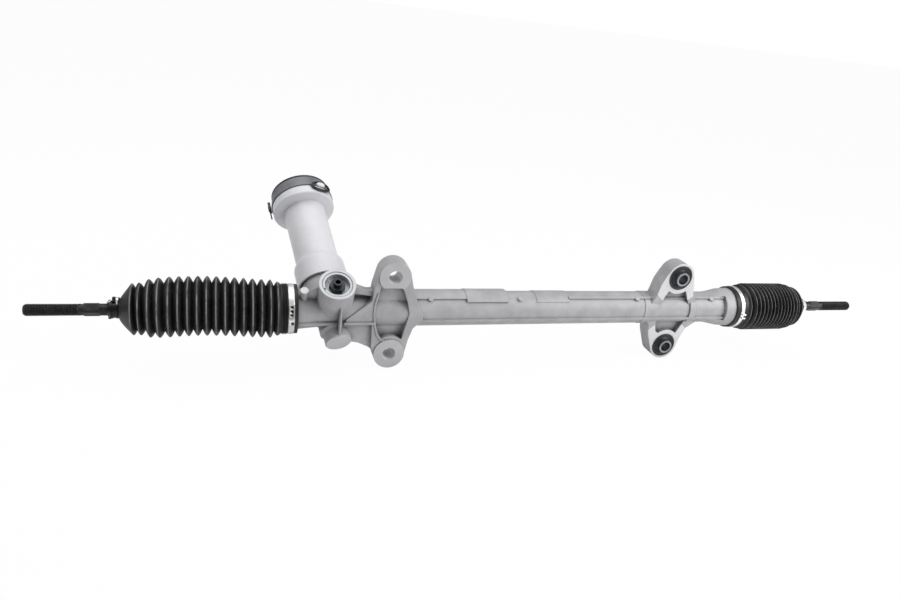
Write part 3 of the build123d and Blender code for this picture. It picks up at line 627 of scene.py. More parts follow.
@dataclass(frozen=True)
class CoverFinish(Finish):
    """Pale moulded plastic that lets a little light through."""

    def tune(self, shader: bpy.types.Node) -> None:
        """Give the plastic its shallow scattering."""
        shader.inputs["Subsurface Weight"].default_value = 0.25
        shader.inputs["Subsurface Radius"].default_value = (0.004, 0.004, 0.004)
        shader.inputs["Subsurface Scale"].default_value = 1.0


def triple(vector: np.ndarray) -> tuple[float, float, float]:
    """Plain tuple of a vector."""
    return tuple(float(c) for c in vector)


def on_pinion(height: float) -> tuple[float, float, float]:
    """Point on the pinion's axis at a height in millimetres above its middle."""
    return triple(PINION_MID + height * PINION_DIR)


def machined_faces() -> tuple[Patch, ...]:
    """Faces of the housing that were cut after casting.

    These are the fronts of the ears and the walls of the left-hand bolt holes, the ring round the yoke plug,
    and the ends of the pinion boss and of the vent stub.
    """
    front = (0.0, -1.0, 0.0)
    ring = triple(CROSSING + 53.1 * YOKE_DIR)
    stub = triple(CROSSING + 39.9 * YOKE_DIR - np.array([38.3, 0.0, 0.0]))
    found = []
    for z in (EAR_Z, -EAR_Z):
        found.append(Patch((-EAR_X, LEFT_EAR_FACE, z), front, radius=20.2, share=0.3))
        found.append(Patch((-EAR_X, -15.0, z), front, radius=8.7, reach=30.0, share=0.8, pitch=0.0))
        found.append(Patch((EAR_X, RIGHT_EAR_FACE, z), front, radius=40.0, reach=0.25, share=0.85))
    found.append(Patch(ring, triple(YOKE_DIR), radius=22.4, reach=1.8, share=0.6))
    found.append(Patch(on_pinion(-41.5), triple(PINION_DIR), radius=15.8, share=0.5))
    found.append(Patch(stub, triple(YOKE_DIR), radius=5.2, reach=0.4, share=0.8))
    return tuple(found)


def seal_bands() -> tuple[Patch, ...]:
    """Black edges of the cover's rubber seal, at its lip and where it meets the cup."""
    look = {"radius": 60.0, "colour": (0.012, 0.012, 0.014), "roughness": 0.4, "pitch": 0.0}
    return tuple(Patch(on_pinion(height), triple(PINION_DIR), reach=reach, **look)
                 for height, reach in ((208.2, 2.2), (187.9, 0.6)))


class Palette:
    """All the finishes, by the record's slot names; the last three are for pieces of this script alone."""

    def __init__(self) -> None:
        """Build every material once."""
        effects = Effects()
        steel = (0.56, 0.57, 0.58)
        pinion = {"centre": triple(PINION_MID), "axis": triple(PINION_DIR)}
        yoke = {"centre": triple(CROSSING), "axis": triple(YOKE_DIR)}
        finishes = {
            # Cast aluminium: its lighter edge colour is a painted highlight, and its darkening in corners is
            # painted shade with some dirt.
            "cast_aluminium": PatchedFinish(
                "Cast aluminium", (0.43, 0.43, 0.445), metallic=0.2, roughness=0.56, clouds=55,
                mottle=0.12, grain=1500, depth=0.14, edge=1.6, edge_gain=1.2,
                edge_highlight_colour=(0.64, 0.64, 0.66), dust=0.06, grime=0.85, shade_and_grime_reach=13.0,
                patches=machined_faces()),
            "rack_steel": TurnedFinish(
                "Ground steel", steel, metallic=1.0, roughness=0.25, edge=0.2, depth=0.02),
            "bush_plastic": Finish("Bush plastic", (0.62, 0.55, 0.38), depth=0.05),
            "retainer_steel": TurnedFinish(
                "Pressed steel", (0.42, 0.42, 0.43), metallic=1.0, roughness=0.35, depth=0.03),
            "bump_plastic": Finish("Bump stop plastic", (0.02, 0.02, 0.022), depth=0.05),
            "yoke_aluminium": TurnedFinish(
                "Yoke aluminium", (0.6, 0.6, 0.61), metallic=1.0, roughness=0.32, depth=0.03, **yoke),
            "liner_plastic": Finish("Liner plastic", (0.24, 0.2, 0.13), depth=0.05),
            "seal_rubber": Finish("Seal rubber", (0.015, 0.015, 0.015), roughness=0.55, depth=0.05),
            "spring_steel": Finish(
                "Spring steel", (0.25, 0.26, 0.28), metallic=1.0, roughness=0.3, depth=0.03),
            # Its darkening in corners is painted shade in the plug's recess.
            "plug_steel": TurnedFinish(
                "Plug steel", (0.5, 0.52, 0.54), metallic=0.6, roughness=0.42, depth=0.04, edge=0.4,
                grime=0.15, **yoke),
            "adjuster_steel": TurnedFinish(
                "Blackened steel", (0.05, 0.052, 0.058), metallic=0.9, roughness=0.35, depth=0.03,
                **yoke),
            "pinion_steel": TurnedFinish(
                "Pinion steel", steel, metallic=1.0, roughness=0.27, depth=0.03, edge=0.2, **pinion),
            "bearing_steel": TurnedFinish(
                "Bearing steel", (0.68, 0.69, 0.7), metallic=1.0, roughness=0.15, depth=0.01, **pinion),
            "nut_steel": TurnedFinish(
                "Nut steel", (0.38, 0.39, 0.4), metallic=1.0, roughness=0.35, depth=0.03, **pinion),
            # Its darkening in corners is painted shade with some dirt.
            "cover_plastic": CoverFinish(
                "Cover plastic", (0.72, 0.72, 0.75), roughness=0.42, clouds=25, mottle=0.04, grain=2500,
                depth=0.02, edge=0.8, edge_gain=0.8, dust=0.05, grime=0.35, shade_and_grime_reach=14.0,
                shade_and_grime_colour=(0.25, 0.25, 0.27)),
            "cover_rubber": PatchedFinish(
                "Cover seal rubber", (0.17, 0.175, 0.19), roughness=0.45, mottle=0.25, depth=0.05,
                dust=0.1, patches=seal_bands()),
            "strap_plastic": Finish("Strap plastic", (0.012, 0.012, 0.013), roughness=0.35, depth=0.05),
            "socket_steel": TurnedFinish(
                "Forged steel", (0.3, 0.3, 0.31), metallic=1.0, roughness=0.4, depth=0.04),
            "seat_plastic": Finish("Seat plastic", (0.7, 0.68, 0.6), roughness=0.45, depth=0.04),
            # The lighter edge colour of the rod is a painted highlight.
            "rod_steel": Finish(
                "Black coated steel", (0.016, 0.016, 0.018), metallic=0.35, roughness=0.42, clouds=90,
                mottle=0.35, grain=2200, depth=0.03, edge=0.35, edge_gain=1.4,
                edge_highlight_colour=(0.06, 0.06, 0.065), dust=0.05),
            # The boot's crest lines and lighter edge colour are painted highlights.
            "boot_rubber": FoldFinish(
                "Boot rubber", (0.008, 0.0085, 0.009), roughness=0.46, clouds=60, mottle=0.35, grain=1800,
                depth=0.03, edge=0.3, edge_gain=0.5, edge_highlight_colour=(0.03, 0.03, 0.032), dust=0.02),
            "clamp_steel": Finish(
                "Clamp steel", (0.92, 0.92, 0.93), metallic=0.85, roughness=0.38, clouds=120, mottle=0.08,
                depth=0.02),
            "clip_steel": Finish(
                "Black clip steel", (0.03, 0.03, 0.035), metallic=0.8, roughness=0.3, depth=0.02),
            "clip_light": Finish(
                "Zinc clip steel", (0.9, 0.9, 0.92), metallic=0.6, roughness=0.35, depth=0.02),
            "bushing_steel": Finish(
                "Sleeve steel", (0.3, 0.31, 0.33), metallic=1.0, roughness=0.4, clouds=90, mottle=0.2,
                depth=0.03),
            # Its lighter edge colour paints highlights on the moulded rings.
            "bushing_rubber": Finish(
                "Bushing rubber", (0.02, 0.02, 0.023), roughness=0.38, edge=0.5,
                edge_highlight_colour=(0.2, 0.2, 0.21), mottle=0.3, depth=0.06, dust=0.08),
            "button_plastic": Finish("Button plastic", (0.85, 0.85, 0.86), roughness=0.35, depth=0.02),
            # A darker copy of the clamp steel for the tongue: painted shade.
            "clamp_shaded": Finish(
                "Clamp steel in painted shade", (0.5, 0.49, 0.47), metallic=0.9, roughness=0.42, depth=0.03),
            "paint_dot": Finish("Paint dot", (0.02, 0.2, 0.14), roughness=0.4, depth=0.02),
        }
        self.made = {look: finish.build(effects) for look, finish in finishes.items()}

    def dress(self, piece: bpy.types.Object, look: str) -> None:
        """Give a piece one of the finishes."""
        piece.data.materials.clear()
        piece.data.materials.append(self.made[look])

    def settle(self, piece: bpy.types.Object, look: str, body: str,
               node: str | None = None) -> None:
        """Dress a rigid piece, let it ride a body and report it.

        Args:
            piece: The piece.
            look: Its finish.
            body: The body that it rides.
            node: The solid that it stands in for, if any.
        """
        self.dress(piece, look)
        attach(piece, body)
        if node:
            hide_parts(node)
        LOG.info("%s: %d faces", piece.name, len(piece.data.polygons))


# Pieces


@dataclass
class Bellows:
    """Rubber boot between the housing and a tie rod, over the rack's slide and the ball joint.

    Distances count from its mouth. The folds are given as shares of its length, and cuts are where one piece
    of it ends and the next begins, with the last bend's end.
    """

    side: Side
    mouth: float
    end: float
    arch: float = 0.0
    first_fold: float = 0.0626
    fold_pitch: float = 0.0579
    closing: float = 0.0
    last_fold: float = 0.923
    full_folds: int = 12
    more_folds: tuple[tuple[float, float], ...] = ((0.109, 34.2), (0.049, 31.0), (0.0, 30.5))
    collar_rings: tuple[float, ...] = ()
    slant: float = 0.0
    collar_length: float = 21.0
    collar_radius: float = 30.8
    seat_radius: float = 28.45
    neck_length: float = 9.0
    neck_radius: float = 9.6
    rod_radius: float = 7.05
    wall: float = 1.2
    ridge_radius: float = 36.0
    valley_radius: float = 28.0
    least_drop: float = 3.5
    outer_drop: float = 6.8
    roundness: float = 1.6
    cone_roundness: float = 0.9
    ring_half: float = 0.8
    ring_height: float = 1.3
    first_bend: float = 3.0
    segments: int = 112
    cuts: tuple[float, float, float] = (0.0, 0.0, 0.0)

    @property
    def length(self) -> float:
        """Distance from the mouth to the end."""
        return abs(self.end - self.mouth)

    def crests(self) -> np.ndarray:
        """Distance from the mouth and radius of each fold's crest, in millimetres.

        Full fold number k stands at first + pitch * k - closing * k^2, as a share of the length, and the
        smaller folds after them count back from the last one.
        """
        number = np.arange(self.full_folds)
        full = self.first_fold + self.fold_pitch * number - self.closing * number ** 2
        small = [(self.last_fold - back, radius) for back, radius in self.more_folds]
        lip = (0.016, 33.5)
        rows = np.array([lip, *[(share, self.ridge_radius) for share in full], *small])
        return rows * (self.length, 1.0)

    def outline(self) -> np.ndarray:
        """Outer profile as rows of distance, radius and how near the crest the point is, from 0 to 1.

        Between two valleys the radius is valley + (crest - valley) * (1 - |2f - 1|^p), with f from 0 to 1
        across the fold and p the roundness, so that crests are round and valleys sharp. The cone after the
        last crest falls as a power of the way that is left.
        """
        crests = self.crests()
        spot, top = crests[:, 0], crests[:, 1]
        mid = (spot[1:] + spot[:-1]) / 2
        drop = np.where(np.arange(len(mid)) < len(mid) - 2, self.least_drop, self.outer_drop)
        low = np.minimum(self.valley_radius, np.minimum(top[1:], top[:-1]) - drop)
        lefts = np.concatenate([[-1.0], mid])
        rights = np.concatenate([mid, [self.length]])
        feet = np.concatenate([[self.collar_radius], low, [self.neck_radius + 3.0]])
        f = np.linspace(0, 1, 15)[None, :-1]
        rise = np.where(f < 0.5, 2 * f, 2 - 2 * f)
        x = np.where(f < 0.5, lefts[:, None] + (spot - lefts)[:, None] * 2 * f,
                     spot[:, None] + (rights - spot)[:, None] * (2 * f - 1))
        foot = np.where(f < 0.5, feet[:-1, None], feet[1:, None])
        shape = 1 - (1 - rise) ** self.roundness
        last = np.arange(len(spot))[:, None] == len(spot) - 1
        shape = np.where(last & (f > 0.5), rise ** self.cone_roundness, shape)
        r = foot + (top[:, None] - foot) * shape
        folds = np.stack([x, r, shape], -1).reshape(-1, 3)
        length = self.length
        collar = [(-self.collar_length, self.collar_radius - 0.8),
                  (-self.collar_length + 0.4, self.collar_radius), (-12.0, self.collar_radius)]
        collar += [(-place + step, self.collar_radius + high) for place in self.collar_rings
                   for step, high in ((-self.ring_half, 0.0), (0.0, self.ring_height), (self.ring_half, 0.0))]
        collar.append((-1.6, self.collar_radius))
        neck = [(length, self.neck_radius + 2.6), (length + 0.8, self.neck_radius + 0.6),
                (length + 1.6, self.neck_radius), (length + self.neck_length - 0.6, self.neck_radius),
                (length + self.neck_length, self.neck_radius - 0.6)]
        plain = [[(*pair, 0.0) for pair in row] for row in (collar, neck)]
        return np.concatenate([plain[0], folds, plain[1]])

    def inside(self, outer: np.ndarray) -> np.ndarray:
        """Inner profile for the outer one: in by the wall's thickness, but never through the seat or rod."""
        x, r = outer[:, 0], outer[:, 1] - self.wall
        r = np.where(x <= -1.0, self.seat_radius, r)
        r = np.where(x >= self.length, self.rod_radius, np.maximum(r, self.rod_radius))
        return np.stack([x, r], -1)

    def piece(self, name: str, start: float, stop: float) -> bpy.types.Object:
        """One piece of the boot, closed at both ends.

        The profile is turned about the rack. On the outer folds x moves by the slant times z / ridge, and z
        rises by arch * sin^2(pi * share of the length).

        Args:
            name: Name of the new object.
            start: Distance from the mouth where it starts.
            stop: Distance where it stops.

        Returns:
            The object at the origin.
        """
        outer = self.outline()
        inner = self.inside(outer)
        between = outer[(outer[:, 0] > start) & (outer[:, 0] < stop), 0]
        stops = np.unique(np.concatenate([between, [start, stop]]))
        cut_outer = np.stack([stops, np.interp(stops, outer[:, 0], outer[:, 1])], -1)
        cut_inner = np.stack([stops, np.interp(stops, inner[:, 0], inner[:, 1])], -1)
        loop = np.concatenate([cut_outer, cut_inner[::-1]])
        loop[:, 0] = self.mouth + self.side.value * loop[:, 0]
        points = round_x(loop, self.segments)
        along = np.clip((points[..., 0] - self.mouth) * self.side.value / self.length, 0, 1)
        lean = self.slant * np.clip(2.2 * along - 1.1, 0, 1) * np.clip(12 * (0.985 - along), 0, 1)
        points[..., 0] += lean * self.side.value * points[..., 2] / self.ridge_radius
        points[..., 2] += self.arch * np.sin(np.pi * along) ** 2
        made = grid_mesh(name, points, around=True, along=True)
        spots = np.empty(len(made.data.vertices) * 3)
        made.data.vertices.foreach_get("co", spots)
        distance = (spots[::3] / MM - self.mouth) * self.side.value
        # Nearness to the crest, which places the painted crest highlight of the boot's material.
        fold = made.data.attributes.new("fold", "FLOAT", "POINT")
        fold.data.foreach_set("value", np.interp(distance, outer[:, 0], outer[:, 2]))
        return made

    def build(self, palette: Palette) -> None:
        """Make the three pieces in place of the plain boot."""
        first, second, third = self.cuts
        seat, rod = f"{self.side.word}_ball_seat", f"{self.side.word}_tie_rod"
        stretches = (
            ("folds", -self.collar_length, first, "housing", "rack", self.first_bend, first),
            ("shoulder", first, second, "rack", seat, first, second),
            ("neck", second, self.length + self.neck_length, seat, rod, second, third),
        )
        for part, start, stop, fixed, moving, bend_from, bend_to in stretches:
            piece = self.piece(f"boot_{self.side.word}_{part}", start, stop)
            palette.dress(piece, "boot_rubber")
            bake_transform(piece)
            if part == "folds":
                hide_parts(f"boot_{self.side.word}")
            LOG.info("boot %s: %s, %d faces", self.side.word, part, len(piece.data.polygons))


@dataclass
class TieRod:
    """Tie rod: ball, slim neck, shank, wrench flats and outer thread, as one surface round its axis."""

    side: Side
    ball_x: float
    ball_radius: float = 10.5
    neck_radius: float = 5.4
    radius: float = 7.0
    length: float = 159.0
    thread: float = 57.0
    pitch: float = 1.5
    depth: float = 0.85
    flats: tuple[float, float] = (82.0, 97.0)
    flats_radius: float = 7.8
    flats_turn: float = 0.85
    across_flats: float = 12.6
    segments: int = 64

    def radius_at(self, d: np.ndarray, a: np.ndarray) -> np.ndarray:
        """Radius at a distance from the ball's centre and an angle round the axis.

        The ball is a circle, the shank follows straight tapers, the flats cut the radius to half their width
        over the cosine of the angle from the nearest flat, and the thread lowers it by a triangle wave of
        d / pitch - turn.
        """
        ball = np.sqrt(np.maximum(self.ball_radius ** 2 - d ** 2, 0.0))
        knots = ([4, 24, 40, self.flats[0] - 1, self.flats[0], self.flats[1], self.flats[1] + 3,
                  self.length - self.thread, self.length - 2, self.length],
                 [self.neck_radius, self.neck_radius, self.radius, self.radius, self.flats_radius,
                  self.flats_radius, self.radius - 0.5, self.radius, self.radius, self.radius - 1.6])
        shank = np.where(d > 3, np.interp(d, *knots), 0.0)
        body = np.maximum(ball, shank)
        nearest = np.abs((a - self.flats_turn + TAU / 8) % (TAU / 4) - TAU / 8)
        flat = self.across_flats / 2 / np.cos(nearest)
        inside = (d >= self.flats[0]) & (d <= self.flats[1])
        body = np.where(inside, np.minimum(body, flat), body)
        wave = np.abs(((d / self.pitch - a / TAU) % 1.0) * 2 - 1)
        run_in = np.clip((d - (self.length - self.thread)) / 2.0, 0, 1)
        run_out = np.clip((self.length - d) / 1.5, 0, 1)
        cut = self.depth * np.clip(1.25 * (1 - wave) - 0.12, 0, 1) * run_in * run_out
        return body - cut

    def build(self, palette: Palette) -> None:
        """Make the rod in place of its plain solid."""
        ball = self.ball_radius * np.cos(np.linspace(math.pi, 0.36 * math.pi, 22))
        ball[0] += 0.004
        neck = np.array([4.9, 8, 12, 16, 20, 24, 28, 32, 36, 40, 50, 60, 70, 80, self.flats[0] - 1.0])
        flats = np.linspace(self.flats[0], self.flats[1], 8)
        start = self.length - self.thread
        thread = np.linspace(start, self.length - 0.001, int(self.thread / self.pitch * 8))
        rows = [ball, neck[neck > ball[-1]], flats, [self.flats[1] + 3], thread]
        d = np.unique(np.concatenate(rows))[:, None]
        a = turn(self.segments)
        points = about_x(self.ball_x + self.side.value * d, self.radius_at(d, a), a)
        word = self.side.word
        piece = grid_mesh(f"tie_rod_{word}_threaded", points, around=True, caps=True)
        palette.settle(piece, "rod_steel", f"{word}_tie_rod", f"tie_rod_{word}")


@dataclass
class BandClamp:
    """Steel band round a boot's collar, with a slotted tongue over a buckle, or with a pinched ear.

    Angles are in degrees above the -Y side.
    """

    side: Side
    left: float
    width: float = 7.1
    radius: float = 30.9
    thickness: float = 0.7
    segments: int = 180
    slots: tuple[float, ...] = ()
    slot_half: float = 2.4
    slot_wide_half: float = 3.6
    notch: float | None = None
    notch_half: float = 3.4
    tongue: tuple[float, float] | None = None
    tongue_lift: float = 0.75
    buckle: tuple[tuple[float, tuple[float, float, float], float], ...] = (
        (-3.0, (3.2, 1.1, 0.8), 1.5), (-19.0, (3.1, 1.0, 0.7), 1.3), (-32.0, (2.9, 5.0, 0.4), 0.8))
    ear: float | None = None
    ear_half_gap: float = 4.6

    def band(self, name: str, lift: float, start: float = 0.0, stop: float = 360.0) -> bpy.types.Object:
        """Band with its slots left out, as a sheet that is then thickened.

        Args:
            name: Name of the new object.
            lift: How far the sheet lies above the clamp's radius, in millimetres.
            start: Angle where it starts.
            stop: Angle where it stops.

        Returns:
            The object at the origin.
        """
        closed = stop - start >= 360.0
        steps = int(self.segments * (stop - start) / 360.0)
        x = self.left + self.width * np.array([0.0, 0.06, 0.25, 0.42, 0.6, 0.78, 0.94, 1.0])
        a = np.linspace(start, stop, steps, endpoint=not closed)
        r = self.radius + lift + np.array([0.0, 0.12, 0.15, 0.15, 0.15, 0.15, 0.12, 0.0])
        rad = np.radians(a)[:, None]
        points = about_x(x, r, rad)
        columns = len(x)
        i = np.arange(steps if closed else steps - 1)[:, None]
        j = np.arange(columns - 1)[None, :]
        nxt = (i + 1) % steps
        quads = np.stack([i * columns + j, i * columns + j + 1, nxt * columns + j + 1, nxt * columns + j], -1)
        middle = a[:len(i)] + 0.5 * (stop - start) / steps
        holed = np.zeros((len(i), columns - 1), bool)
        for slot in self.slots:
            away = np.abs((middle - slot + 180) % 360 - 180)
            holed[away < self.slot_half, 2:5] = True
            holed[away < self.slot_wide_half, 3:5] = True
        if self.notch is not None:
            holed[np.abs((middle - self.notch + 180) % 360 - 180) < self.notch_half, 3:6] = True
        made = faced_mesh(name, points, quads[~holed].tolist())
        wall = made.modifiers.new("wall", "SOLIDIFY")
        wall.thickness = self.thickness * MM
        wall.offset = 0.0
        with bpy.context.temp_override(object=made, active_object=made):
            bpy.ops.object.modifier_apply(modifier=wall.name)
        return made

    def parts(self) -> list[bpy.types.Object]:
        """Band with its buckle below the tongue, or with its pinched ear."""
        made = [self.band("band", 0.0)]
        mid = np.array([self.left + self.width / 2, 0.0, 0.0])
        if self.tongue is not None:
            for angle, half, high in self.buckle:
                axes = outward(angle)
                made.append(block(mid + axes[2] * (self.radius + high), axes, half, f"buckle_{-angle:.0f}"))
            axes = outward(self.notch)
            centre = mid + axes[0] * -2.3 + axes[2] * (self.radius + 1.2)
            made.append(block(centre, axes, (0.9, 2.0, 0.6), "buckle_side"))
        if self.ear is not None:
            for turn in (-self.ear_half_gap, self.ear_half_gap):
                axes = outward(self.ear + turn)
                half = (self.width / 2 - 0.1, 1.0, 2.5)
                made.append(block(mid + axes[2] * (self.radius + 2.4), axes, half, f"ear_{turn:.0f}"))
        return made

    def build(self, palette: Palette) -> None:
        """Make the clamp in place of its plain solid, with the slotted tongue that lies over the left one."""
        word = self.side.word
        clamp = joined(f"clamp_{word}", self.parts())
        palette.settle(clamp, "clamp_steel", "housing", f"boot_clamp_{word}")
        if self.tongue is not None:
            # The tongue takes a darker copy of the clamp steel: painted shade.
            over = self.band(f"clamp_{word}_tongue", self.tongue_lift, *self.tongue)
            palette.settle(over, "clamp_shaded", "housing")


@dataclass
class RodClip:
    """Small clip that holds a boot's neck on its tie rod: a ring with a bent wire, and tabs on the left.

    Places count from the boot's end.
    """

    side: Side
    end: float
    look: str
    wire_look: str
    hook_radius: float = 0.55
    wire_radius: float = 0.45

    def ring(self) -> bpy.types.Object:
        """Ring turned from a beaded profile, given as distance past the boot's end and radius."""
        if self.side is Side.LEFT:
            profile = [(1.0, 9.7), (1.4, 10.5), (3.4, 10.5), (4.0, 9.9), (6.9, 9.9), (7.5, 10.6), (9.6, 10.8),
                       (10.2, 9.6), (11.4, 8.9), (12.4, 8.3), (13.0, 7.1), (9.1, 7.1), (9.0, 9.65)]
        else:
            profile = [(2.0, 9.7), (2.2, 11.4), (3.0, 11.8), (7.6, 10.6), (8.6, 9.9), (8.9, 9.6), (8.9, 9.65)]
        rows = np.array(profile)
        rows[:, 0] = self.end + self.side.value * rows[:, 0]
        return grid_mesh(f"boot_clip_{self.side.word}_ring", round_x(rows, 64), around=True, along=True)

    def build(self, palette: Palette) -> None:
        """Make the clip in place of its plain solid."""
        word = self.side.word
        body = f"{word}_tie_rod"
        ring = [self.ring()]
        across = outward(90.0)
        base = np.array([self.end, 0.0, 0.0])
        if self.side is Side.LEFT:
            ring.append(block(base + (-5.6, 0, 12.9), across, (1.8, 2.3, 2.6), "clip_tab", bevel=0.5))
            ring.append(block(base + (-11.2, 0, -9.6), across, (1.5, 1.8, 2.0), "clip_foot", bevel=0.4))
            hook = [
                (-11.0, -5.0, 5.6), (-12.6, -3.0, 8.0), (-12.4, -1.5, 9.8), (-11.2, 0, 11.2), (-9.6, 0, 12.2)]
            ring.append(wire("clip_hook", [tuple(base + stop) for stop in hook], self.hook_radius))
            ring.append(block(base + (-0.2, 0, 12.4), across, (0.8, 1.8, 2.6), "clip_back", bevel=0.4))
            loop = [(-4.2, 0, 15.0), (-2.4, 0, 15.7), (-0.4, 0, 15.3), (0.3, 0, 13.8), (0.4, 0, 11.2)]
        else:
            loop = [(2.2, 0, 12.3), (6.0, 0, 11.2), (10.0, 0, 8.9), (13.0, 0, 7.5)]
        bent = joined(f"boot_clip_{word}_bent", ring)
        thin = [wire("clip_loop", [tuple(base + stop) for stop in loop], self.wire_radius)]
        if self.side is Side.LEFT:
            thin.append(block(base + (-2.1, -4.5, 9.6), across, (1.0, 0.8, 4.4), "clip_strip", bevel=0.3))
        palette.settle(bent, self.look, body, f"boot_clip_{word}")
        palette.settle(joined(f"boot_clip_{word}_wire", thin), self.wire_look, body)


@dataclass
class Bushing:
    """Rubber of an ear's bushing, moulded in rings round the sleeve and lapping over the steel shell."""

    word: str
    height: float
    back: float = 3.5
    sleeve_radius: float = 9.8
    bore_radius: float = 17.0
    lap_radius: float = 18.15

    def build(self, palette: Palette) -> None:
        """Turn a profile of radius and distance out of the ear's face, in place of the plain rubber."""
        rings = [(self.sleeve_radius, 0.9), (10.6, 1.1), (11.2, 0.2), (12.2, -0.6), (12.9, 0.3), (13.7, 0.5),
                 (14.3, -0.5), (15.0, -0.5), (15.6, 0.5), (16.6, 0.7), (self.lap_radius - 0.3, 0.6),
                 (self.lap_radius, 0.2), (self.lap_radius, 0.02), (self.bore_radius, 0.02)]
        deep = RIGHT_EAR_FACE - self.back
        profile = np.array([*rings, (self.bore_radius, deep), (self.sleeve_radius, deep)])
        a = turn(72)
        r, out = profile[:, :1], profile[:, 1:2]
        y = RIGHT_EAR_FACE - out + 0 * a
        points = np.stack([EAR_X + r * np.cos(a), y, self.height + r * np.sin(a)], -1)
        name = f"bushing_rubber_{self.word}"
        piece = grid_mesh(f"{name}_moulded", points, around=True, along=True)
        palette.settle(piece, "bushing_rubber", "housing", name)


@dataclass
class CoverTrim:
    """Strap loop, oval button and clip on the wall of the pinion cover's cup.

    Places on the wall are an angle in degrees round the pinion's axis, from the yoke's side, a height along
    that axis and a radius. The loop and the button rise by the slope for each degree.
    """

    wall_radius: float = 43.0
    loop_angle: float = 32.0
    loop_half: float = 20.0
    loop_height: float = 188.2
    slope: float = 0.1
    clip_blocks: tuple[tuple[float, float, float, tuple[float, float, float]], ...] = (
        (-101.0, 195.0, 45.0, (3.2, 8.2, 1.8)), (-97.0, 190.5, 46.0, (2.2, 3.4, 1.6)),
        (-103.0, 181.6, 45.6, (1.3, 6.0, 0.9)))

    def on_wall(self, angle: np.ndarray, height: np.ndarray, radius: np.ndarray) -> np.ndarray:
        """Points: middle + height * axis + radius * (cos a * yoke + sin a * side)."""
        a = np.radians(angle)[..., None]
        return (PINION_MID + np.asarray(height)[..., None] * PINION_DIR
                + np.asarray(radius)[..., None] * (np.cos(a) * YOKE_DIR + np.sin(a) * PINION_SIDE))

    def loop(self) -> bpy.types.Object:
        """Flat oval ring on the wall, thicker below.

        Round the oval, angle = middle + half * cos u and height = middle + rise * sin u. The band's width
        goes from 3.6 mm below to 1.8 mm above, and its section is a rounded box.
        """
        u = turn(72).T
        v = turn(14)
        rise = np.where(np.sin(u) < 0, 8.6, 6.0)
        width = 1.35 - 0.45 * np.sin(u)
        box = [np.sign(f(v)) * np.abs(f(v)) ** 0.6 for f in (np.cos, np.sin)]
        angle = self.loop_angle + (self.loop_half + width * box[0] * 1.3) * np.cos(u)
        level = self.loop_height + self.slope * (angle - self.loop_angle)
        height = level + (rise + width * box[0]) * np.sin(u)
        points = self.on_wall(angle, height, self.wall_radius + 1.5 + 1.4 * box[1])
        return grid_mesh("cover_strap_loop", points, around=True, along=True)

    def button(self) -> bpy.types.Object:
        """Low oval dome, 9.6 degrees by 3.5 mm to each side, 3.2 mm * (1 - share^4)^0.5 high."""
        share = np.array([1.0, 0.985, 0.94, 0.85, 0.7, 0.45, 0.1])[:, None]
        a = turn(40)
        angle = self.loop_angle - 1.0 + 9.6 * share * np.cos(a)
        height = self.loop_height + 2.2 + self.slope * (angle - self.loop_angle) + 3.5 * share * np.sin(a)
        high = self.wall_radius + 0.3 + 3.2 * np.sqrt(1 - share ** 4) + 0 * a
        return grid_mesh("cover_button", self.on_wall(angle, height, high), around=True, caps=True)

    def clip(self) -> bpy.types.Object:
        """Black clip on the far side: a thick body, a lug and a tongue that hangs below it."""
        parts = []
        for angle, height, radius, half in self.clip_blocks:
            out = math.cos(math.radians(angle)) * YOKE_DIR + math.sin(math.radians(angle)) * PINION_SIDE
            axes = np.array([np.cross(PINION_DIR, out), PINION_DIR, out])
            centre = PINION_MID + height * PINION_DIR + radius * out
            parts.append(block(centre, axes, half, f"clip_{height:.0f}", bevel=0.6))
        return joined("cover_clip_body", parts)

    def build(self, palette: Palette) -> None:
        """Make the three in place of their plain solids."""
        palette.settle(self.loop(), "strap_plastic", "housing", "cover_strap")
        palette.settle(self.button(), "button_plastic", "housing", "cover_pin")
        palette.settle(self.clip(), "strap_plastic", "housing", "cover_clip")


@dataclass
class Housing:
    """Carried-over solids, each with the finish of its own slot, and the small marks on the housing."""

    nodes: dict[str, bpy.types.Object] = field(default_factory=dict)

    def dress(self, palette: Palette, record: dict[str, Any]) -> None:
        """Give every node the finish of the slot that the record names.

        Args:
            palette: The finishes.
            record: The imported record.
        """
        for entry in record["subparts"]:
            node = self.nodes[entry["node"]]
            palette.dress(node, entry["material_slot"])
            LOG.info("node %s: %s", entry["node"], entry["material_slot"])

    def paint_dot(self, palette: Palette) -> None:
        """Inspector's dab of paint on the rim of the yoke plug, a low dome with an uneven edge."""
        along = np.array([1.0, 0.0, 0.0])
        side = np.cross(YOKE_DIR, along)
        centre = CROSSING + 52.55 * YOKE_DIR - 16.6 * along - 6.8 * side
        ring = turn(28)[0]
        spread = 2.1 + 0.35 * np.sin(3 * ring + 0.6) + 0.12 * np.sin(7 * ring)
        rows = []
        for share in (1.0, 0.92, 0.7, 0.4, 0.12):
            high = 0.18 * math.sqrt(1 - share ** 2) + 0.06
            flat = share * spread[:, None] * (np.cos(ring)[:, None] * along + np.sin(ring)[:, None] * side)
            rows.append(centre + flat + high * YOKE_DIR)
        piece = grid_mesh("paint_dot", np.array(rows), around=True, caps=True)
        palette.settle(piece, "paint_dot", "housing")


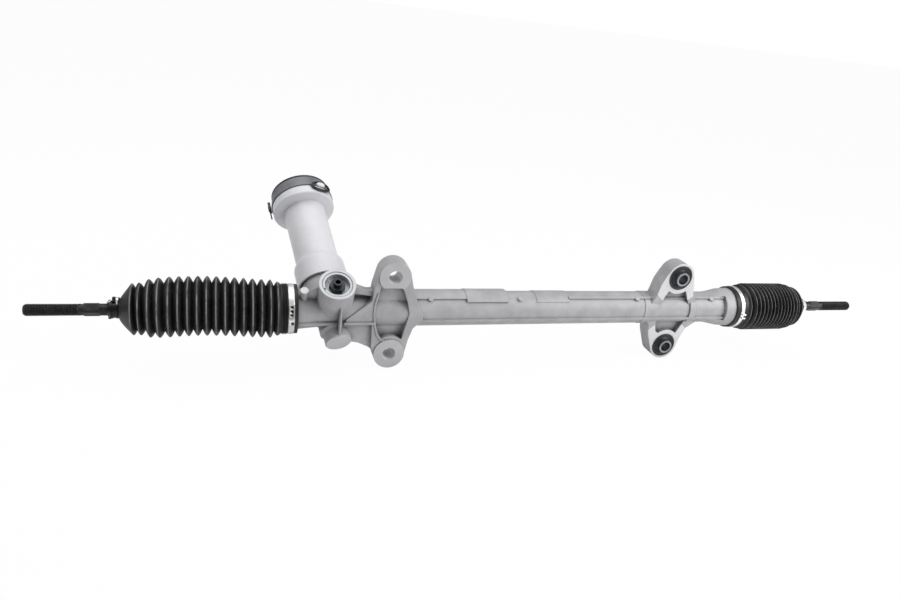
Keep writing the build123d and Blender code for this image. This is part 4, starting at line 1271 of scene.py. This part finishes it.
@dataclass
class Studio:
    """Pale floor, soft lamps and the camera of the photograph, in metres."""

    floor_height: float = -0.0762
    floor_half: float = 60.0
    floor_glow: float = 0.97
    fill: float = 0.27
    eye: tuple[float, float, float] = (-0.3959, -0.8040, 0.3687)
    right: tuple[float, float, float] = (0.9557, -0.2695, 0.1180)
    up: tuple[float, float, float] = (0.0016, 0.4057, 0.9140)
    ahead: tuple[float, float, float] = (0.2942, 0.8734, -0.3882)
    lens: float = 27.743

    def floor(self) -> None:
        """White floor that keeps a faint part of the shadow."""
        made = bpy.data.materials.new("Floor")
        t = Tree.emptied(made)
        matt = t.node("BsdfDiffuse", Color=(0.9, 0.9, 0.9, 1.0))
        white = t.node("Emission", Color=(1.0, 1.0, 1.0, 1.0), Strength=1.0)
        seen = t.math("MULTIPLY", t.node("LightPath").outputs["Is Camera Ray"], self.floor_glow)
        both = t.node("MixShader", i0=seen, i1=matt.outputs[0], i2=white.outputs[0])
        t.node("OutputMaterial", Surface=both.outputs[0])
        mesh = bpy.data.meshes.new("floor")
        far = self.floor_half
        plan = [(-far, -far), (far, -far), (far, far), (-far, far)]
        mesh.from_pydata([(x, y, self.floor_height) for x, y in plan], [], [(0, 1, 2, 3)])
        floor = linked("floor", mesh)
        floor.data.materials.append(made)
        floor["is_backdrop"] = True

    def sky(self) -> None:
        """Even pale light from all round, white where the camera sees it."""
        world = bpy.data.worlds.new("Studio")
        bpy.context.scene.world = world
        t = Tree.emptied(world)
        path = t.node("LightPath")
        fill = t.node("Background", Color=(1.0, 1.0, 1.0, 1.0), Strength=self.fill)
        white = t.node("Background", Color=(1.0, 1.0, 1.0, 1.0), Strength=1.0)
        both = t.node("MixShader", i0=path.outputs["Is Camera Ray"], i1=fill.outputs[0], i2=white.outputs[0])
        t.node("OutputWorld", Surface=both.outputs[0])

    def lamp(self, name: str, place: tuple[float, float, float], aim: tuple[float, float, float],
             size: float, power: float) -> None:
        """Square soft lamp at a place, turned to a point.

        Args:
            name: Name of the lamp.
            place: Where it stands, in metres.
            aim: Point it is turned to.
            size: Side of the square.
            power: Power in watts.
        """
        light = bpy.data.lights.new(name, "AREA")
        light.size = size
        light.energy = power
        made = linked(name, light)
        made.location = place
        made.rotation_euler = (Vector(aim) - Vector(place)).to_track_quat("-Z", "Y").to_euler()

    def camera(self) -> None:
        """Camera at the photograph's place, square to its own three directions."""
        lens = bpy.data.cameras.new("Camera")
        lens.lens = self.lens
        lens.sensor_width = 36.0
        lens.sensor_fit = "HORIZONTAL"
        lens.clip_start = 0.02
        made = linked("Camera", lens)
        turned = Matrix([self.right, self.up, [-c for c in self.ahead]]).transposed()
        made.matrix_world = Matrix.Translation(self.eye) @ turned.to_quaternion().to_matrix().to_4x4()
        bpy.context.scene.camera = made

    def build(self) -> None:
        """Set the stage."""
        bpy.context.scene.view_settings.view_transform = "Standard"
        self.floor()
        self.sky()
        self.lamp("Key", (1.1, -0.8, 0.9), (0.2, 0.0, 0.0), size=1.2, power=21.0)
        self.lamp("Top", (-0.3, 0.3, 1.5), (0.0, 0.0, 0.0), size=1.4, power=12.0)
        self.lamp("Left", (-1.2, 0.1, 0.8), (0.1, 0.0, 0.0), size=0.9, power=3.0)
        self.camera()


def corners() -> list[list[float]]:
    """Lowest and highest corner of what is shown now, as plain lists."""
    return [[float(c) for c in corner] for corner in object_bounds()]


def main() -> None:
    """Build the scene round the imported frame."""
    logging.basicConfig(level=logging.INFO, format="%(message)s")
    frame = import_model()
    palette = Palette()
    housing = Housing(frame["nodes"])
    housing.dress(palette, frame["record"])
    housing.paint_dot(palette)
    pieces = (
        Bellows(Side.LEFT, mouth=-345.0, end=LEFT_BOOT_END, arch=4.3, cuts=(160.0, 170.0, 180.5),
                collar_rings=(7.4, 5.3, 3.2), slant=1.9,
                more_folds=((0.159, 35.6), (0.1014, 34.5), (0.0443, 31.0), (0.0, 30.5))),
        Bellows(Side.RIGHT, mouth=333.0, end=RIGHT_BOOT_END, ridge_radius=35.5, cuts=(89.2, 101.9, 115.6),
                first_fold=0.0901, fold_pitch=0.0588, closing=0.0006, last_fold=0.8395),
        TieRod(Side.LEFT, ball_x=-465.3),
        TieRod(Side.RIGHT, ball_x=389.2),
        BandClamp(Side.LEFT, left=-335.7, slots=(27.0, 17.5, 9.0), notch=-12.0, tongue=(1.0, 32.0)),
        BandClamp(Side.RIGHT, left=319.0, width=5.8, ear=-2.0),
        RodClip(Side.LEFT, end=LEFT_BOOT_END, look="clip_steel", wire_look="clip_light"),
        RodClip(Side.RIGHT, end=RIGHT_BOOT_END, look="clip_light", wire_look="clip_steel"),
        Bushing("upper", height=EAR_Z),
        Bushing("lower", height=-EAR_Z),
        CoverTrim(),
    )
    for piece in pieces:
        piece.build(palette)
    Studio().build()


if __name__ == "__main__":
    main()
